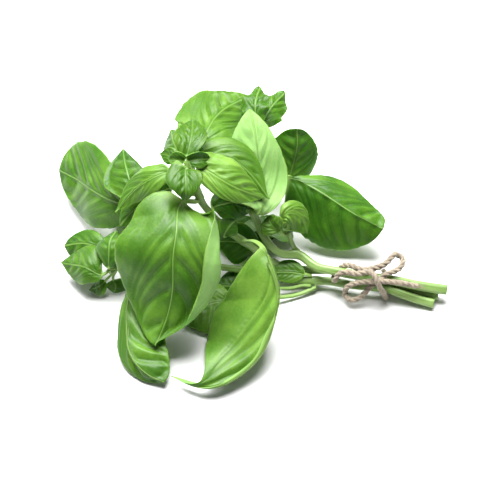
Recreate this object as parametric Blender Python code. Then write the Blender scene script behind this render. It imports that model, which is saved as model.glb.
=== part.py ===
"""A bunch of fresh basil tied with jute twine, lying down on a flat surface.

Each leaf with its stalk, each stem with its side shoots, and the tie is one object. Sizes and
places are in millimetres; meshes are built in metres, +Z up, with the surface at z = 0. A leaf is
a midrib that bends through a few points, a half width that follows a power of a sine, and a cross
section that folds at the midrib, bends towards each margin and may roll over at the edge.
"""
import math
from dataclasses import dataclass
from typing import NamedTuple

import bmesh
import bpy
import numpy as np

MM = 0.001
GAP = 0.3
CENTRE = (-2.7, 9.0, 0.03)
BLADE_HALF_THICKNESS = 0.4
STALK_STEP = 6.0
GROWTH = 0.12
SECTION_STEPS = 40
STEM_SIDES = 8
STEM_STEP = 7.0
STEM_SQUARENESS = 0.07
NODE_SWELLING = 0.22
NODE_REACH = 3.0
TWINE_DIAMETER = 2.8
TWINE_STEP = 3.6


class Grade(NamedTuple):
    """How finely a leaf of one size is built, and how thick its stalk is."""

    rows: int
    columns: int
    stalk_radius: float


LARGE = Grade(10, 6, 1.15)
MIDDLE = Grade(8, 4, 0.95)
SMALL = Grade(6, 4, 0.75)
TINY = Grade(4, 4, 0.55)


@dataclass(frozen=True)
class Side:
    """One half of a blade. Angles are in degrees, measured up from the midrib's own plane."""

    fold: float = -6.0
    bend: float = -25.0
    roll: float = 0.0
    roll_from: float = 0.8
    share: float = 1.0
    base: float = 0.6
    tip: float = 0.85


@dataclass(frozen=True)
class Stem:
    """A stem's centreline, its thickness at both ends, and where leaves swell it into nodes."""

    name: str
    points: tuple
    thick: float
    thin: float
    nodes: tuple = ()
    joined_to: str = ""


@dataclass(frozen=True)
class Leaf:
    """A leaf: stem and distance along it, midrib from blade base to tip, and which way it faces."""

    name: str
    grade: Grade
    stem: str
    along: float
    midrib: tuple
    faces: tuple
    width: float
    left: Side = Side()
    right: Side = Side()
    widest: float = 0.45
    stalk: tuple = ()
    lead: tuple = ()
    sweep: float = 0.3
    ripple: float = 0.0
    ripples: float = 3.0


STEMS = (
    Stem(
        "stem_upper",
        (
            (89.5, -8.6, 6.5), (77.5, -7.3, 7.8), (63.5, -5.1, 9.6), (46, -3.4, 11.2), (36.5, -2, 12.5),
            (28.5, 1.2, 12.2), (20.5, 7.4, 12.8), (14.5, 6.5, 14), (9.5, 7, 17.5), (5.5, 9.5, 22),
            (2.5, 13, 28), (-0.5, 15.5, 35),
        ),
        5.0, 3.5, (74, 106),
    ),
    Stem(
        "stem_front",
        (
            (83.5, -13.5, 2.4), (72.5, -10.6, 3.8), (62.5, -7.1, 5.1), (46, -4.4, 4.9), (36, -1.9, 4.3),
            (28, -1.4, 4.4), (19.5, -0.8, 4.4), (9, 0, 6.5), (-6, 0.6, 10), (-22, 0.5, 13),
            (-38.5, 0, 16), (-52, 2, 16.5), (-61, 0, 14), (-66.5, -3.5, 12.5),
        ),
        4.4, 2.6, (56, 90, 150),
    ),
    Stem(
        "stem_middle",
        (
            (86, -8.8, 2.4), (74, -5.5, 3.8), (62, -2, 5.3), (46, 2.4, 5.2), (36, 4.2, 5),
            (29, 4, 5.4), (22, 4.6, 5.4), (15.5, 4.9, 6.6), (9, 5.2, 10.6), (1, 5.5, 18.5),
            (-6, 6, 25.5), (-12.5, 6, 33), (-18, 6.5, 41), (-22.5, 8.5, 47), (-25.5, 11, 54.5),
            (-29, 18, 61),
        ),
        4.4, 3.0, (100, 132, 143),
    ),
    Stem(
        "shoot_left",
        ((-31.5, 0.5, 14.5), (-37.5, 3.5, 19), (-44, 9, 23), (-49.5, 12.5, 27), (-53, 17.5, 31)),
        2.8, 2.2, (30,), "stem_front",
    ),
    Stem(
        "shoot_back",
        ((-0.5, 15.5, 33), (1.5, 26, 36.5), (4, 41, 38), (6, 50, 42)),
        3.2, 2.4, (12, 38), "stem_upper",
    ),
    Stem(
        "shoot_right",
        ((20.5, 9, 12), (18, 10, 18), (16, 10, 26)),
        2.6, 2.0, (15,), "stem_upper",
    ),
)

LEAVES = (
    Leaf(
        "leaf_front_domed", LARGE, "stem_middle", 132,
        ((-31, 6, 51), (-33.5, -9, 51), (-35, -19.5, 46), (-35.5, -27.5, 34.5), (-38.5, -36, 21),
         (-43.5, -44.5, 12)),
        ((0, -0.3, 0.9), (-0.1, -0.55, 0.8), (-0.2, -0.8, 0.6)), 58,
        Side(-6, -22, 190, 0.56, 1.06, 0.4, 1.5), Side(-6, -20, base=0.44, tip=0.6), 0.44, ripple=0.6,
    ),
    Leaf(
        "leaf_front_long", LARGE, "stem_middle", 100,
        ((4, -8.5, 37), (9, -19, 35), (11.5, -29.5, 28), (8.5, -40.5, 20), (3.5, -50, 13),
         (-4.5, -57.5, 9), (-18.5, -63.5, 6), (-36, -55.5, 4)),
        ((-0.35, -0.5, 0.8), (-0.4, -0.5, 0.75), (-0.3, -0.6, 0.7), (-0.1, -0.7, 0.7),
         (0, -0.8, 0.6)), 64,
        Side(-120, -30, share=0.4, base=2.6, tip=0.7), Side(0, -12, base=1.0, tip=2.2), 0.36,
        lead=(0.12, -0.75, -0.5), sweep=1,
    ),
    Leaf(
        "leaf_front_left", LARGE, "stem_front", 134,
        ((-54, -13, 17.5), (-57, -24.5, 15.5), (-57, -35.5, 12), (-56, -44.5, 10), (-50.5, -53, 7.5),
         (-44.5, -57, 5.5), (-39, -58.5, 4)),
        ((0.05, -0.4, 0.9),), 38,
        Side(0, -10, share=0.92, base=0.65, tip=0.5), Side(-55, -10, share=0.43, base=0.65, tip=0.6),
        0.55, sweep=0.8,
    ),
    Leaf(
        "leaf_far_left", LARGE, "shoot_left", 29,
        ((-55, 20, 28), (-63, 25.5, 28), (-76, 36.5, 25), (-85, 48, 20), (-95, 60.5, 14)),
        ((-0.55, -0.6, 0.6), (-0.5, -0.5, 0.7)), 42,
        Side(-2, -18, share=0.86, base=0.55, tip=0.5), Side(-2, -20, base=0.55, tip=0.4), 0.55,
        lead=(-0.85, 0.1, -0.5), sweep=1,
    ),
    Leaf(
        "leaf_left_folded", SMALL, "shoot_left", 31,
        ((-54.5, 20, 37), (-56.5, 26.5, 42), (-59, 36, 43), (-61, 48.5, 41)),
        ((0, -0.35, 0.9),), 27,
        Side(-25, -15, 70, 0.7, base=0.7, tip=0.8), Side(-35, -15, base=0.7, tip=0.8),
    ),
    Leaf(
        "leaf_crown_left", MIDDLE, "stem_middle", 141,
        ((-37, 16.5, 59), (-45, 14.5, 58), (-54, 14, 50), (-62.5, 10.5, 39)),
        ((-0.2, -0.4, 0.85),), 24,
        Side(-8, -25, share=0.6, tip=0.9), Side(-10, -25, share=0.72, tip=0.9), 0.4,
    ),
    Leaf(
        "leaf_crown_left_lower", SMALL, "stem_middle", 134,
        ((-36.5, 15.5, 50), (-45.5, 14, 46), (-54.5, 12.5, 38), (-61, 9, 31)),
        ((-0.2, -0.5, 0.8),), 24,
        Side(-8, -30, base=0.7, tip=0.9), Side(-10, -30, base=0.7, tip=0.9),
    ),
    Leaf(
        "leaf_side_shoot_back", SMALL, "stem_front", 153,
        ((-68, 5, 16), (-74, 9.5, 17), (-81, 13, 14.5), (-89, 15.5, 9.5)),
        ((-0.3, -0.5, 0.8),), 24,
        Side(-8, -25, base=0.7, tip=0.6), Side(-8, -25, share=0.62, base=0.7, tip=0.6), 0.5,
    ),
    Leaf(
        "leaf_side_shoot_front", SMALL, "stem_front", 154,
        ((-69, -5.5, 14), (-75, -4, 16), (-82, 1, 13), (-90, 6.5, 8)),
        ((-0.2, -0.5, 0.8),), 23,
        Side(-8, -25, share=0.8, base=0.7, tip=1.0), Side(-8, -30, base=0.7, tip=0.9),
    ),
    Leaf(
        "leaf_side_shoot_upright", SMALL, "stem_front", 152,
        ((-66, -5, 18), (-66, -2, 24), (-65.5, 3, 27), (-63, 10.5, 26)),
        ((-0.3, -0.4, 0.8),), 20,
        Side(-8, -40, base=0.7, tip=0.8), Side(-8, -30, base=0.7, tip=0.8), 0.5,
    ),
    Leaf(
        "leaf_side_shoot_bud", TINY, "stem_front", 153,
        ((-68.5, -4, 7.5), (-70.5, -5.5, 6.5), (-73.5, -5.5, 4), (-76.5, -5, 1.8)),
        ((-0.1, -0.4, 0.9),), 9,
        Side(-8, -30, base=0.7, tip=0.9), Side(-8, -30, base=0.7, tip=0.9),
    ),
    Leaf(
        "leaf_side_shoot_low", TINY, "stem_front", 152,
        ((-65, -3, 7), (-64, -4.5, 5), (-65, -6.5, 1.5)),
        ((0.2, -0.6, 0.8),), 14,
        Side(-8, -30, base=0.7, tip=0.7), Side(-8, -30, base=0.7, tip=0.7), 0.5,
    ),
    Leaf(
        "leaf_tip_back", SMALL, "stem_middle", 143.5,
        ((-29.5, 23, 62), (-28.5, 27.5, 65), (-27.5, 35.5, 66), (-27.5, 45.5, 64)),
        ((-0.05, -0.6, 0.8),), 17,
        Side(14, -35, base=0.65, tip=0.95), Side(14, -35, share=0.84, base=0.65, tip=0.95),
    ),
    Leaf(
        "leaf_tip_front", SMALL, "stem_middle", 144,
        ((-29.5, 14, 64), (-29.5, 6.5, 64), (-29.5, 2, 61), (-30, 0.5, 56)),
        ((0, -0.55, 0.85),), 18,
        Side(12, -35, share=0.85, base=0.35, tip=1.3), Side(12, -35, base=0.35, tip=1.3), 0.3,
    ),
    Leaf(
        "leaf_tip_bud_left", TINY, "stem_middle", 146,
        ((-30.4, 17.2, 65), (-33.5, 17.5, 66), (-37.5, 19, 64.5)),
        ((-0.1, -0.7, 0.8),), 7.5,
        Side(14, 35, share=0.85, base=0.3, tip=0.9), Side(12, -10, base=0.3, tip=0.9),
    ),
    Leaf(
        "leaf_tip_bud_right", TINY, "stem_middle", 146,
        ((-28.6, 17.2, 65), (-24, 17.8, 66), (-19, 20.5, 63.5)),
        ((0.1, -0.7, 0.8),), 8,
        Side(12, 35, base=0.3, tip=0.9), Side(12, -10, base=0.3, tip=0.9),
    ),
    Leaf(
        "leaf_tip_side", TINY, "stem_middle", 142.5,
        ((-33, 21, 61.5), (-37.5, 24, 62), (-42, 27, 60)),
        ((-0.2, -0.6, 0.8),), 8,
        Side(5, -20, base=0.7, tip=0.9), Side(5, -20, base=0.7, tip=0.9),
    ),
    Leaf(
        "leaf_crown_right", MIDDLE, "stem_middle", 141,
        ((-24.6, 16.2, 61.2), (-14, 11.5, 60), (-4, 10, 54), (5.5, 12, 47)),
        ((0.1, -0.5, 0.85),), 27,
        Side(-4, -30, share=0.9, base=0.4, tip=1.15), Side(-6, -25, share=0.55, base=0.34, tip=1.0), 0.4,
    ),
    Leaf(
        "leaf_crown_right_back", MIDDLE, "stem_middle", 137,
        ((-26, 26.5, 55.5), (-16, 29, 57.5), (-4, 25, 53.5), (7.5, 14.5, 43.5)),
        ((0.15, -0.45, 0.85),), 31,
        Side(-8, -30, share=0.7, base=0.3, tip=1.35), Side(-8, -55, share=0.9, tip=0.95), 0.4,
    ),
    Leaf(
        "leaf_crown_back", LARGE, "stem_middle", 131,
        ((-26, 37, 54), (-22, 42, 58), (-18.5, 51, 58), (-11.5, 63, 55), (-2, 77, 48)),
        ((-0.05, -0.45, 0.9),), 40,
        Side(-6, -20, share=0.88, base=0.35, tip=0.45), Side(-6, -32, share=0.7, base=0.55, tip=0.8), 0.36,
    ),
    Leaf(
        "leaf_crown_back_left", SMALL, "stem_middle", 128,
        ((-32, 34.5, 48), (-36, 44, 47), (-39, 60, 42)),
        ((-0.4, -0.3, 0.8),), 16,
        Side(-6, -28, base=0.7, tip=0.7), Side(-6, -32, base=0.7, tip=0.7), 0.5,
    ),
    Leaf(
        "leaf_turned_over", LARGE, "stem_upper", 107,
        ((2, 12.5, 36.5), (4, 22, 40), (2.5, 33.5, 47.5), (1, 43, 56), (-1.5, 54.5, 61)),
        ((-0.1, 0.75, -0.6),), 36,
        Side(-6, -15, share=0.7, base=0.9, tip=0.8), Side(-6, -5, share=0.9, base=0.5, tip=0.7),
        0.38,
    ),
    Leaf(
        "leaf_back_crinkled_right", SMALL, "shoot_back", 36,
        ((4, 58, 44), (7, 68, 46), (15.5, 81.5, 46)),
        ((0, -0.6, 0.8),), 16,
        Side(-8, -40, base=0.7, tip=0.7), Side(-8, -20, base=0.7, tip=0.7), 0.5, ripple=1.0,
    ),
    Leaf(
        "leaf_back_crinkled_left", SMALL, "shoot_back", 36,
        ((2.5, 54.5, 49), (1, 61, 55), (3.5, 75.5, 55)),
        ((-0.1, -0.6, 0.8),), 14,
        Side(-8, -20, base=0.7, tip=0.7), Side(-8, -20, base=0.7, tip=0.7), 0.5, ripple=1.0,
    ),
    Leaf(
        "leaf_back_upright", MIDDLE, "shoot_back", 14.5,
        ((15, 46, 14), (19, 52, 24), (21, 54.5, 35), (21, 60, 43)),
        ((0, -0.9, 0.45),), 29,
        Side(-4, -18, base=0.5, tip=0.42), Side(-4, -22, share=0.8, base=0.55, tip=0.5), 0.52,
    ),
    Leaf(
        "leaf_far_right", LARGE, "shoot_back", 7,
        ((16.5, 40.5, 30), (26.5, 35.5, 30), (37, 28.5, 28), (47.5, 22.4, 24.4), (61, 17.6, 19.4)),
        ((-0.25, -0.65, 0.7), (-0.3, -0.75, 0.6)), 47,
        Side(-48, -15, share=0.62, base=1.35, tip=0.3), Side(-4, -20, share=1.05, base=0.27, tip=0.45),
        0.5,
    ),
    Leaf(
        "leaf_axil_right", SMALL, "shoot_right", 14,
        ((13, 10.5, 31), (15, 12, 36), (19, 13.5, 35), (25, 10, 25)),
        ((0.3, -0.6, 0.7),), 18,
        Side(-6, -30, share=0.7, tip=0.9), Side(-6, -25, tip=0.9), sweep=1,
    ),
    Leaf(
        "leaf_axil_left", SMALL, "shoot_right", 14,
        ((12, 8.5, 28), (9, 9.5, 31), (7, 13.5, 33)),
        ((-0.3, -0.7, 0.6),), 12,
        Side(20, -20, base=0.7, tip=0.8), Side(20, -30, base=0.7, tip=0.8), 0.5,
    ),
    Leaf(
        "leaf_low_front", MIDDLE, "stem_front", 56,
        ((-10, -15, 7), (-18, -17, 8), (-25, -20, 7), (-33, -25, 3)),
        ((-0.1, -0.3, 1),), 32,
        Side(-5, -15, tip=0.8), Side(-5, -15, tip=0.8),
        stalk=((26.5, -5.6, 2.6), (20, -8.2, 2.1), (13.3, -10.2, 3), (4, -12, 4.5)),
    ),
    Leaf(
        "leaf_low_centre", SMALL, "stem_front", 58,
        ((-4, -7, 5), (-10, -6, 6), (-17, -5, 5)),
        ((0, -0.5, 0.9),), 17,
        Side(-5, -20, base=0.7, tip=0.8), Side(-5, -20, base=0.7, tip=0.8),
        stalk=((24, -4.1, 4.2), (18, -4.9, 3.2), (12.8, -5.4, 3.6), (4, -6.8, 4)),
    ),
    Leaf(
        "leaf_low_right", SMALL, "stem_front", 58,
        ((24, -0.7, 8.3), (19, 0.1, 8.8), (14, 0.1, 9.1), (8.5, -0.8, 9.7)),
        ((0, -0.5, 0.85),), 13,
        Side(-5, -15, share=0.85, base=0.6, tip=0.6), Side(-5, -20, base=0.6, tip=0.6),
    ),
    Leaf(
        "leaf_inner_back", SMALL, "stem_middle", 119,
        ((-18.5, 14.5, 37), (-10, 18.5, 36.5), (0.5, 20.5, 29)),
        ((0, -0.6, 0.8),), 17,
        Side(-5, -20, base=0.7, tip=0.8), Side(-5, -20, base=0.7, tip=0.8),
    ),
    Leaf(
        "leaf_inner_front", SMALL, "stem_middle", 110,
        ((-13, 0.5, 34), (-11.5, 1.5, 38), (-7.5, 5, 40)),
        ((0.2, -0.6, 0.8),), 11,
        Side(-5, -20, base=0.7, tip=0.8), Side(-5, -20, base=0.7, tip=0.8),
    ),
    Leaf(
        "leaf_inner_low", SMALL, "stem_front", 91,
        ((1.5, 9.5, 13), (-7, 10.5, 18), (-17, 11, 18)),
        ((0, -0.5, 0.9),), 21,
        Side(-5, -20, base=0.7, tip=0.8), Side(-5, -20, base=0.7, tip=0.8),
    ),
    Leaf(
        "leaf_under_right", MIDDLE, "stem_upper", 92,
        ((5.5, 18.5, 14), (7.5, 26, 9.5), (9, 34, 5.5), (10, 42, 2)),
        ((0.1, -0.2, 1),), 25,
        Side(-5, -15, tip=0.8), Side(-5, -15, tip=0.8),
    ),
    Leaf(
        "leaf_under_left", MIDDLE, "shoot_left", 25,
        ((-50, 24, 22), (-54, 38, 13), (-58, 52, 4), (-60, 62, 1.2)),
        ((-0.1, 0.3, 1),), 26,
        Side(-5, -15, tip=0.8), Side(-5, -15, tip=0.8),
    ),
    Leaf(
        "leaf_under_front", MIDDLE, "stem_front", 125,
        ((-44, 8, 11), (-49, 16, 6), (-54, 24, 3), (-60, 31, 1)),
        ((-0.1, 0.2, 1),), 24,
        Side(-5, -10, tip=0.8), Side(-5, -10, tip=0.8),
    ),
    Leaf(
        "leaf_under_centre", MIDDLE, "stem_middle", 79,
        ((1, 14, 7), (-3, 23, 6), (-7, 34, 4), (-10, 43, 1.6)),
        ((0, 0.1, 1),), 30,
        Side(-5, -8, tip=0.7), Side(-5, -8, tip=0.7),
    ),
    Leaf(
        "leaf_under_back", MIDDLE, "shoot_back", 28,
        ((-2, 50, 30), (-6, 60, 20), (-8, 70, 11), (-9, 77, 4)),
        ((0, 0.3, 1),), 24,
        Side(-5, -15, tip=0.8), Side(-5, -15, tip=0.8),
    ),
)

TWINE_ROUTE = (
    (76, -10.5, 11.5), (71, -10.2, 12.5), (66.5, -10, 13.5), (62, -9.8, 14), (56, -10, 14.7),
    (50, -9.4, 13.2), (45.5, -9, 11.2), (43, -9.5, 9), (42.5, -10.3, 6), (44, -12.3, 4.5),
    (46.5, -12.8, 4.5), (50, -12, 6), (52.5, -10.6, 9), (55, -9.3, 11.2), (58, -7.6, 12.8),
    (61, -5.8, 14.2), (66, -3.4, 14.3), (69, 0, 14.7), (69, 3.5, 15), (66, 4.7, 16), (63.5, 2.2, 16),
    (60, -1, 15.3), (56.5, -2.4, 14.9), (53.5, -3.2, 14.8), (49.5, -3.3, 15.1), (46.2, -1.5, 15),
    (43.6, 0.4, 13.6), (41.4, 1.3, 11.3), (39.4, 0.5, 9.1), (38.0, -1.6, 8.3), (37.6, -4.3, 8.7),
    (37.9, -6.2, 10.8), (39, -5.9, 14.0), (42, -5.5, 15.6), (45.5, -6.1, 15.6),
    (49, -6.8, 16.3), (52.5, -6.9, 17.6), (55, -9, 18.2), (56.5, -12, 16.9),
    (58, -13.1, 13.2), (59.3, -12.3, 10.2), (60.3, -11.2, 7.4), (61, -10.6, 4.5), (61.5, -8.8, 1.75),
    (61.5, -5, 1.6),
    (61.5, -0.5, 1.7), (61.3, 2.6, 3.8), (61, 2.8, 7),
)

LEAF_COLOUR = (0.157, 0.381, 0.058, 1)
STEM_COLOUR = (0.430, 0.672, 0.215, 1)
TWINE_COLOUR = (0.479, 0.381, 0.262, 1)


def clear_scene():
    """Removes every object that the open file already holds."""
    for old in list(bpy.data.objects):
        bpy.data.objects.remove(old, do_unlink=True)


def make_material(name, colour, roughness):
    """One Principled material with a base colour and a roughness."""
    material = bpy.data.materials.new(name)
    material.use_nodes = True
    shader = material.node_tree.nodes["Principled BSDF"]
    shader.inputs["Base Color"].default_value = colour
    shader.inputs["Roughness"].default_value = roughness
    shader.inputs["Metallic"].default_value = 0.0
    return material


def unit(vectors):
    """Vectors scaled to length one."""
    return vectors / np.linalg.norm(vectors, axis=-1, keepdims=True)


def smooth_line(points, steps=400):
    """A dense polyline on the natural cubic spline through the points, and its running length."""
    points = np.array(points, float)
    gaps = np.linalg.norm(np.diff(points, axis=0), axis=1)
    knots = np.concatenate([[0.0], np.cumsum(gaps)])
    count = len(points)
    system = np.eye(count)
    target = np.zeros((count, 3))
    slopes = np.diff(points, axis=0) / gaps[:, None]
    for i in range(1, count - 1):
        system[i, i - 1:i + 2] = gaps[i - 1], 2 * (gaps[i - 1] + gaps[i]), gaps[i]
        target[i] = 6 * (slopes[i] - slopes[i - 1])
    curvature = np.linalg.solve(system, target)
    at = np.linspace(0.0, knots[-1], steps)
    span = np.clip(np.searchsorted(knots, at, side="right") - 1, 0, count - 2)
    width = gaps[span][:, None]
    ahead = knots[span + 1][:, None] - at[:, None]
    behind = at[:, None] - knots[span][:, None]
    line = (curvature[span] * ahead**3 + curvature[span + 1] * behind**3) / (6 * width)
    line += (points[span] / width - curvature[span] * width / 6) * ahead
    line += (points[span + 1] / width - curvature[span + 1] * width / 6) * behind
    steps_between = np.linalg.norm(np.diff(line, axis=0), axis=1)
    return line, np.concatenate([[0.0], np.cumsum(steps_between)])


def read_line(line, lengths, at):
    """Points and unit directions at given distances along a dense polyline."""
    points = np.stack([np.interp(at, lengths, line[:, axis]) for axis in range(3)], axis=1)
    directions = np.gradient(line, lengths, axis=0)
    tangents = np.stack([np.interp(at, lengths, directions[:, axis]) for axis in range(3)], axis=1)
    return points, unit(tangents)


def stem_radius(stem, at, length):
    """A stem tapers evenly and swells a little at each node."""
    radius = (stem.thick + (stem.thin - stem.thick) * at / length) / 2
    for node in stem.nodes:
        radius = radius * (1 + NODE_SWELLING * np.exp(-((at - node) / NODE_REACH) ** 2))
    return radius


def tube_rings(points, tangents, radii, sides, squareness):
    """Rings of points round a line, slightly squared, as basil stems are."""
    across = unit(np.cross((0.0, 0.0, 1.0), tangents))
    above = np.cross(tangents, across)
    angles = np.arange(sides) * math.tau / sides + math.tau / (2 * sides)
    spread = radii[:, None] * (1 - squareness * np.cos(4 * angles))[None]
    sideways = (spread * np.cos(angles))[..., None] * across[:, None]
    upwards = (spread * np.sin(angles))[..., None] * above[:, None]
    return points[:, None] + sideways + upwards


def stem_rings(stem):
    """A stem's rings, a STEM_STEP apart."""
    line, lengths = smooth_line(stem.points)
    count = round(lengths[-1] / STEM_STEP) + 1
    at = np.linspace(0.0, lengths[-1], count)
    points, tangents = read_line(line, lengths, at)
    radii = stem_radius(stem, at, lengths[-1])
    return tube_rings(points, tangents, radii, STEM_SIDES, STEM_SQUARENESS)


def root_on_stem(leaf, stem):
    """Where a leaf's stalk starts: on the stem's skin, clear of it by the gap, facing the leaf."""
    line, lengths = smooth_line(stem.points)
    centre, tangent = read_line(line, lengths, np.array([leaf.along]))
    radius = stem_radius(stem, np.array([leaf.along]), lengths[-1])[0]
    first = leaf.stalk[0] if leaf.stalk else leaf.midrib[0]
    towards = np.array(first, float) - centre[0]
    outward = towards - towards @ tangent[0] * tangent[0]
    slant = math.acos(min(1.0, np.linalg.norm(outward) / np.linalg.norm(towards)))
    reach = radius * (1 + STEM_SQUARENESS) + GAP + leaf.grade.stalk_radius * math.sin(slant)
    return centre[0] + unit(outward) * reach


def half_width(leaf, side, along):
    """Half a blade's width: a sine whose peak sits at the widest place, raised to a power."""
    skew = math.log(0.5) / math.log(leaf.widest)
    power = side.base * (1 - along) + side.tip * along
    return leaf.width / 2 * side.share * np.sin(math.pi * along**skew) ** power


def section(side, along):
    """Sideways and upward shape of one half, and its slope, from midrib to margin.

    The slope starts at the fold, changes evenly by the bend and then by the roll; the shape is its
    running sum. Rows are places along the blade and columns are places from midrib to margin.
    """
    out = np.linspace(0.0, 1.0, SECTION_STEPS + 1)[None]
    growth = np.clip(along / GROWTH, 0, 1)[:, None]
    window = np.sin(math.pi * np.clip(along, 0, 1))[:, None] ** 0.6
    rolled = np.clip((out - side.roll_from) / 0.25, 0, 1) ** 1.3
    slope = np.radians((side.fold + side.bend * out) * growth + side.roll * rolled * window)
    step = out[0, 1]
    middle = (slope[:, 1:] + slope[:, :-1]) / 2
    start = np.zeros((len(along), 1))
    sideways = np.concatenate([start, np.cumsum(np.cos(middle) * step, axis=1)], axis=1)
    upwards = np.concatenate([start, np.cumsum(np.sin(middle) * step, axis=1)], axis=1)
    return sideways, upwards, slope


def leaf_places(leaf, root):
    """Distances down the stalk and blade at which rings are cut, and the part of the blade done."""
    line, lengths = smooth_line((root, *leaf.stalk, *leaf.midrib))
    base = np.array(leaf.midrib[0], float)
    start = lengths[np.argmin(np.linalg.norm(line - base, axis=1))]
    stalk_rows = max(1, math.ceil(start / STALK_STEP))
    stalk = np.linspace(0.0, start, stalk_rows, endpoint=False)
    blade = np.linspace(start, lengths[-1], leaf.grade.rows + 1)
    at = np.concatenate([stalk, blade])
    points, tangents = read_line(line, lengths, at)
    return points, tangents, np.clip((at - start) / (lengths[-1] - start), 0, 1)


def leaf_frames(leaf, points, tangents, along):
    """Right-hand and upward directions of the blade at each place."""
    keys = unit(np.array(leaf.faces, float))
    stops = np.linspace(0, 1, len(keys))
    face = np.stack([np.interp(along, stops, keys[:, axis]) for axis in range(3)], axis=1)
    blade_base = points[np.argmax(along > 0) - 1]
    chord = np.array(leaf.lead, float) if leaf.lead else points[-1] - blade_base
    lead = unit(tangents + leaf.sweep * unit(chord))
    upward = unit(face - np.sum(face * lead, axis=1, keepdims=True) * lead)
    return np.cross(lead, upward), upward


def leaf_rings(leaf, root):
    """Closed rings round the stalk and blade: over the top, then back underneath."""
    points, tangents, along = leaf_places(leaf, root)
    rightward, upward = leaf_frames(leaf, points, tangents, along)
    across = np.linspace(-1, 1, leaf.grade.columns + 1)
    middle = np.zeros((len(along), len(across), 3))
    normal = np.zeros_like(middle)
    stalk = leaf.grade.stalk_radius
    slim = stalk * np.clip(1 - 1.2 * along, 0.22, 1)
    for side, sign in ((leaf.left, -1), (leaf.right, 1)):
        sideways, upwards, slope = section(side, along)
        width = np.maximum(half_width(leaf, side, along), slim)
        for column in np.flatnonzero(across * sign >= 0):
            step = round(abs(across[column]) * SECTION_STEPS)
            out = sign * (width * sideways[:, step])[:, None] * rightward
            lift = (width * upwards[:, step])[:, None] * upward
            middle[:, column] = points + out + lift
            turn = slope[:, step][:, None]
            normal[:, column] = upward * np.cos(turn) - sign * rightward * np.sin(turn)
    normal[:, leaf.grade.columns // 2] = upward
    wave = np.sin(math.tau * leaf.ripples * along[:, None] + 1.7 * (across < 0)[None])
    swell = leaf.ripple * np.clip(4 * along, 0, 1)[:, None] * across[None] ** 2 * wave
    thin = BLADE_HALF_THICKNESS + (stalk * 0.95 - BLADE_HALF_THICKNESS) * np.exp(-along / 0.1)
    thickness = thin[:, None] * np.sqrt(1 - np.abs(across)[None] ** (2 + 4 * along[:, None]))
    middle += normal * swell[..., None]
    top = middle + normal * thickness[..., None]
    underside = middle - normal * thickness[..., None]
    return np.concatenate([top, underside[:, -2:0:-1]], axis=1)


def skin_object(name, rings, origin, material, parent):
    """A closed object whose skin joins one ring to the next and is capped at both ends."""
    bm = bmesh.new()
    loops = [[bm.verts.new((point - origin) * MM) for point in ring] for ring in rings]
    for near, far in zip(loops, loops[1:]):
        for i, corner in enumerate(near):
            after = (i + 1) % len(near)
            bm.faces.new((corner, near[after], far[after], far[i]))
    bm.faces.new(reversed(loops[0]))
    bm.faces.new(loops[-1])
    bmesh.ops.triangulate(bm, faces=list(bm.faces))
    mesh = bpy.data.meshes.new(name)
    bm.to_mesh(mesh)
    bm.free()
    mesh.materials.append(material)
    mesh.shade_smooth()
    made = bpy.data.objects.new(name, mesh)
    made.location = origin * MM
    made.parent = parent
    bpy.context.collection.objects.link(made)
    return made


def make_stem(stem, material, parent):
    """One stem, or one side shoot, whose origin is at its thick end."""
    return skin_object(stem.name, stem_rings(stem), np.array(stem.points[0]), material, parent)


def join_shoot(shoot, main):
    """Unites a side shoot with its stem and leaves it as a hidden guide."""
    union = main.modifiers.new(shoot.name, "BOOLEAN")
    union.operation = "UNION"
    union.solver = "EXACT"
    union.object = shoot
    shoot.hide_render = True
    shoot.display_type = "WIRE"


def make_leaf(leaf, stem, material, parent):
    """One leaf with its stalk, whose origin is where the stalk leaves the stem."""
    root = root_on_stem(leaf, stem)
    return skin_object(leaf.name, leaf_rings(leaf, root), root, material, parent)


def make_twine(material, parent):
    """The tie: one length of twine, as a curve with a round bevel along its route."""
    line, lengths = smooth_line(TWINE_ROUTE, 1200)
    at = np.linspace(0.0, lengths[-1], round(lengths[-1] / TWINE_STEP) + 1)
    points, _ = read_line(line, lengths, at)
    curve = bpy.data.curves.new("twine", "CURVE")
    curve.dimensions = "3D"
    curve.bevel_depth = TWINE_DIAMETER / 2 * MM
    curve.bevel_resolution = 2
    curve.use_fill_caps = True
    spline = curve.splines.new("POLY")
    spline.points.add(len(points) - 1)
    for target, place in zip(spline.points, points):
        target.co = (*(place * MM), 1.0)
    curve.materials.append(material)
    made = bpy.data.objects.new("twine", curve)
    made.parent = parent
    bpy.context.collection.objects.link(made)
    return made


def main():
    """Builds the bunch under one empty that brings its middle over the world's origin."""
    clear_scene()
    bunch = bpy.data.objects.new("bunch", None)
    bunch.location = [-value * MM for value in CENTRE]
    bpy.context.collection.objects.link(bunch)
    stem_skin = make_material("stem", STEM_COLOUR, 0.45)
    leaf_skin = make_material("leaf", LEAF_COLOUR, 0.4)
    jute = make_material("twine", TWINE_COLOUR, 0.9)
    plan = {stem.name: stem for stem in STEMS}
    stems = {stem.name: make_stem(stem, stem_skin, bunch) for stem in STEMS}
    for stem in STEMS:
        if stem.joined_to:
            join_shoot(stems[stem.name], stems[stem.joined_to])
    for leaf in LEAVES:
        make_leaf(leaf, plan[leaf.stem], leaf_skin, bunch)
    make_twine(jute, bunch)


if __name__ == "__main__":
    main()
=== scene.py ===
"""Fine surfaces and finishes of a bunch of fresh basil tied with jute twine.

Shapes are worked out in millimetres in the maker's frame, where the surface that the bunch lies
on is z = 0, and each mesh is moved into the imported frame, in metres, as it is written. A leaf is
a midrib that bends through a few points, a half width that follows a power of a sine, and a
cross section that folds at the midrib, bends towards each margin and may roll over at the edge.
Its side veins are lines of equal phase over the blade, so the same numbers shape the relief and
colour the veins.
"""

import logging
import math
from dataclasses import dataclass
from enum import Enum
from typing import NamedTuple

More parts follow.
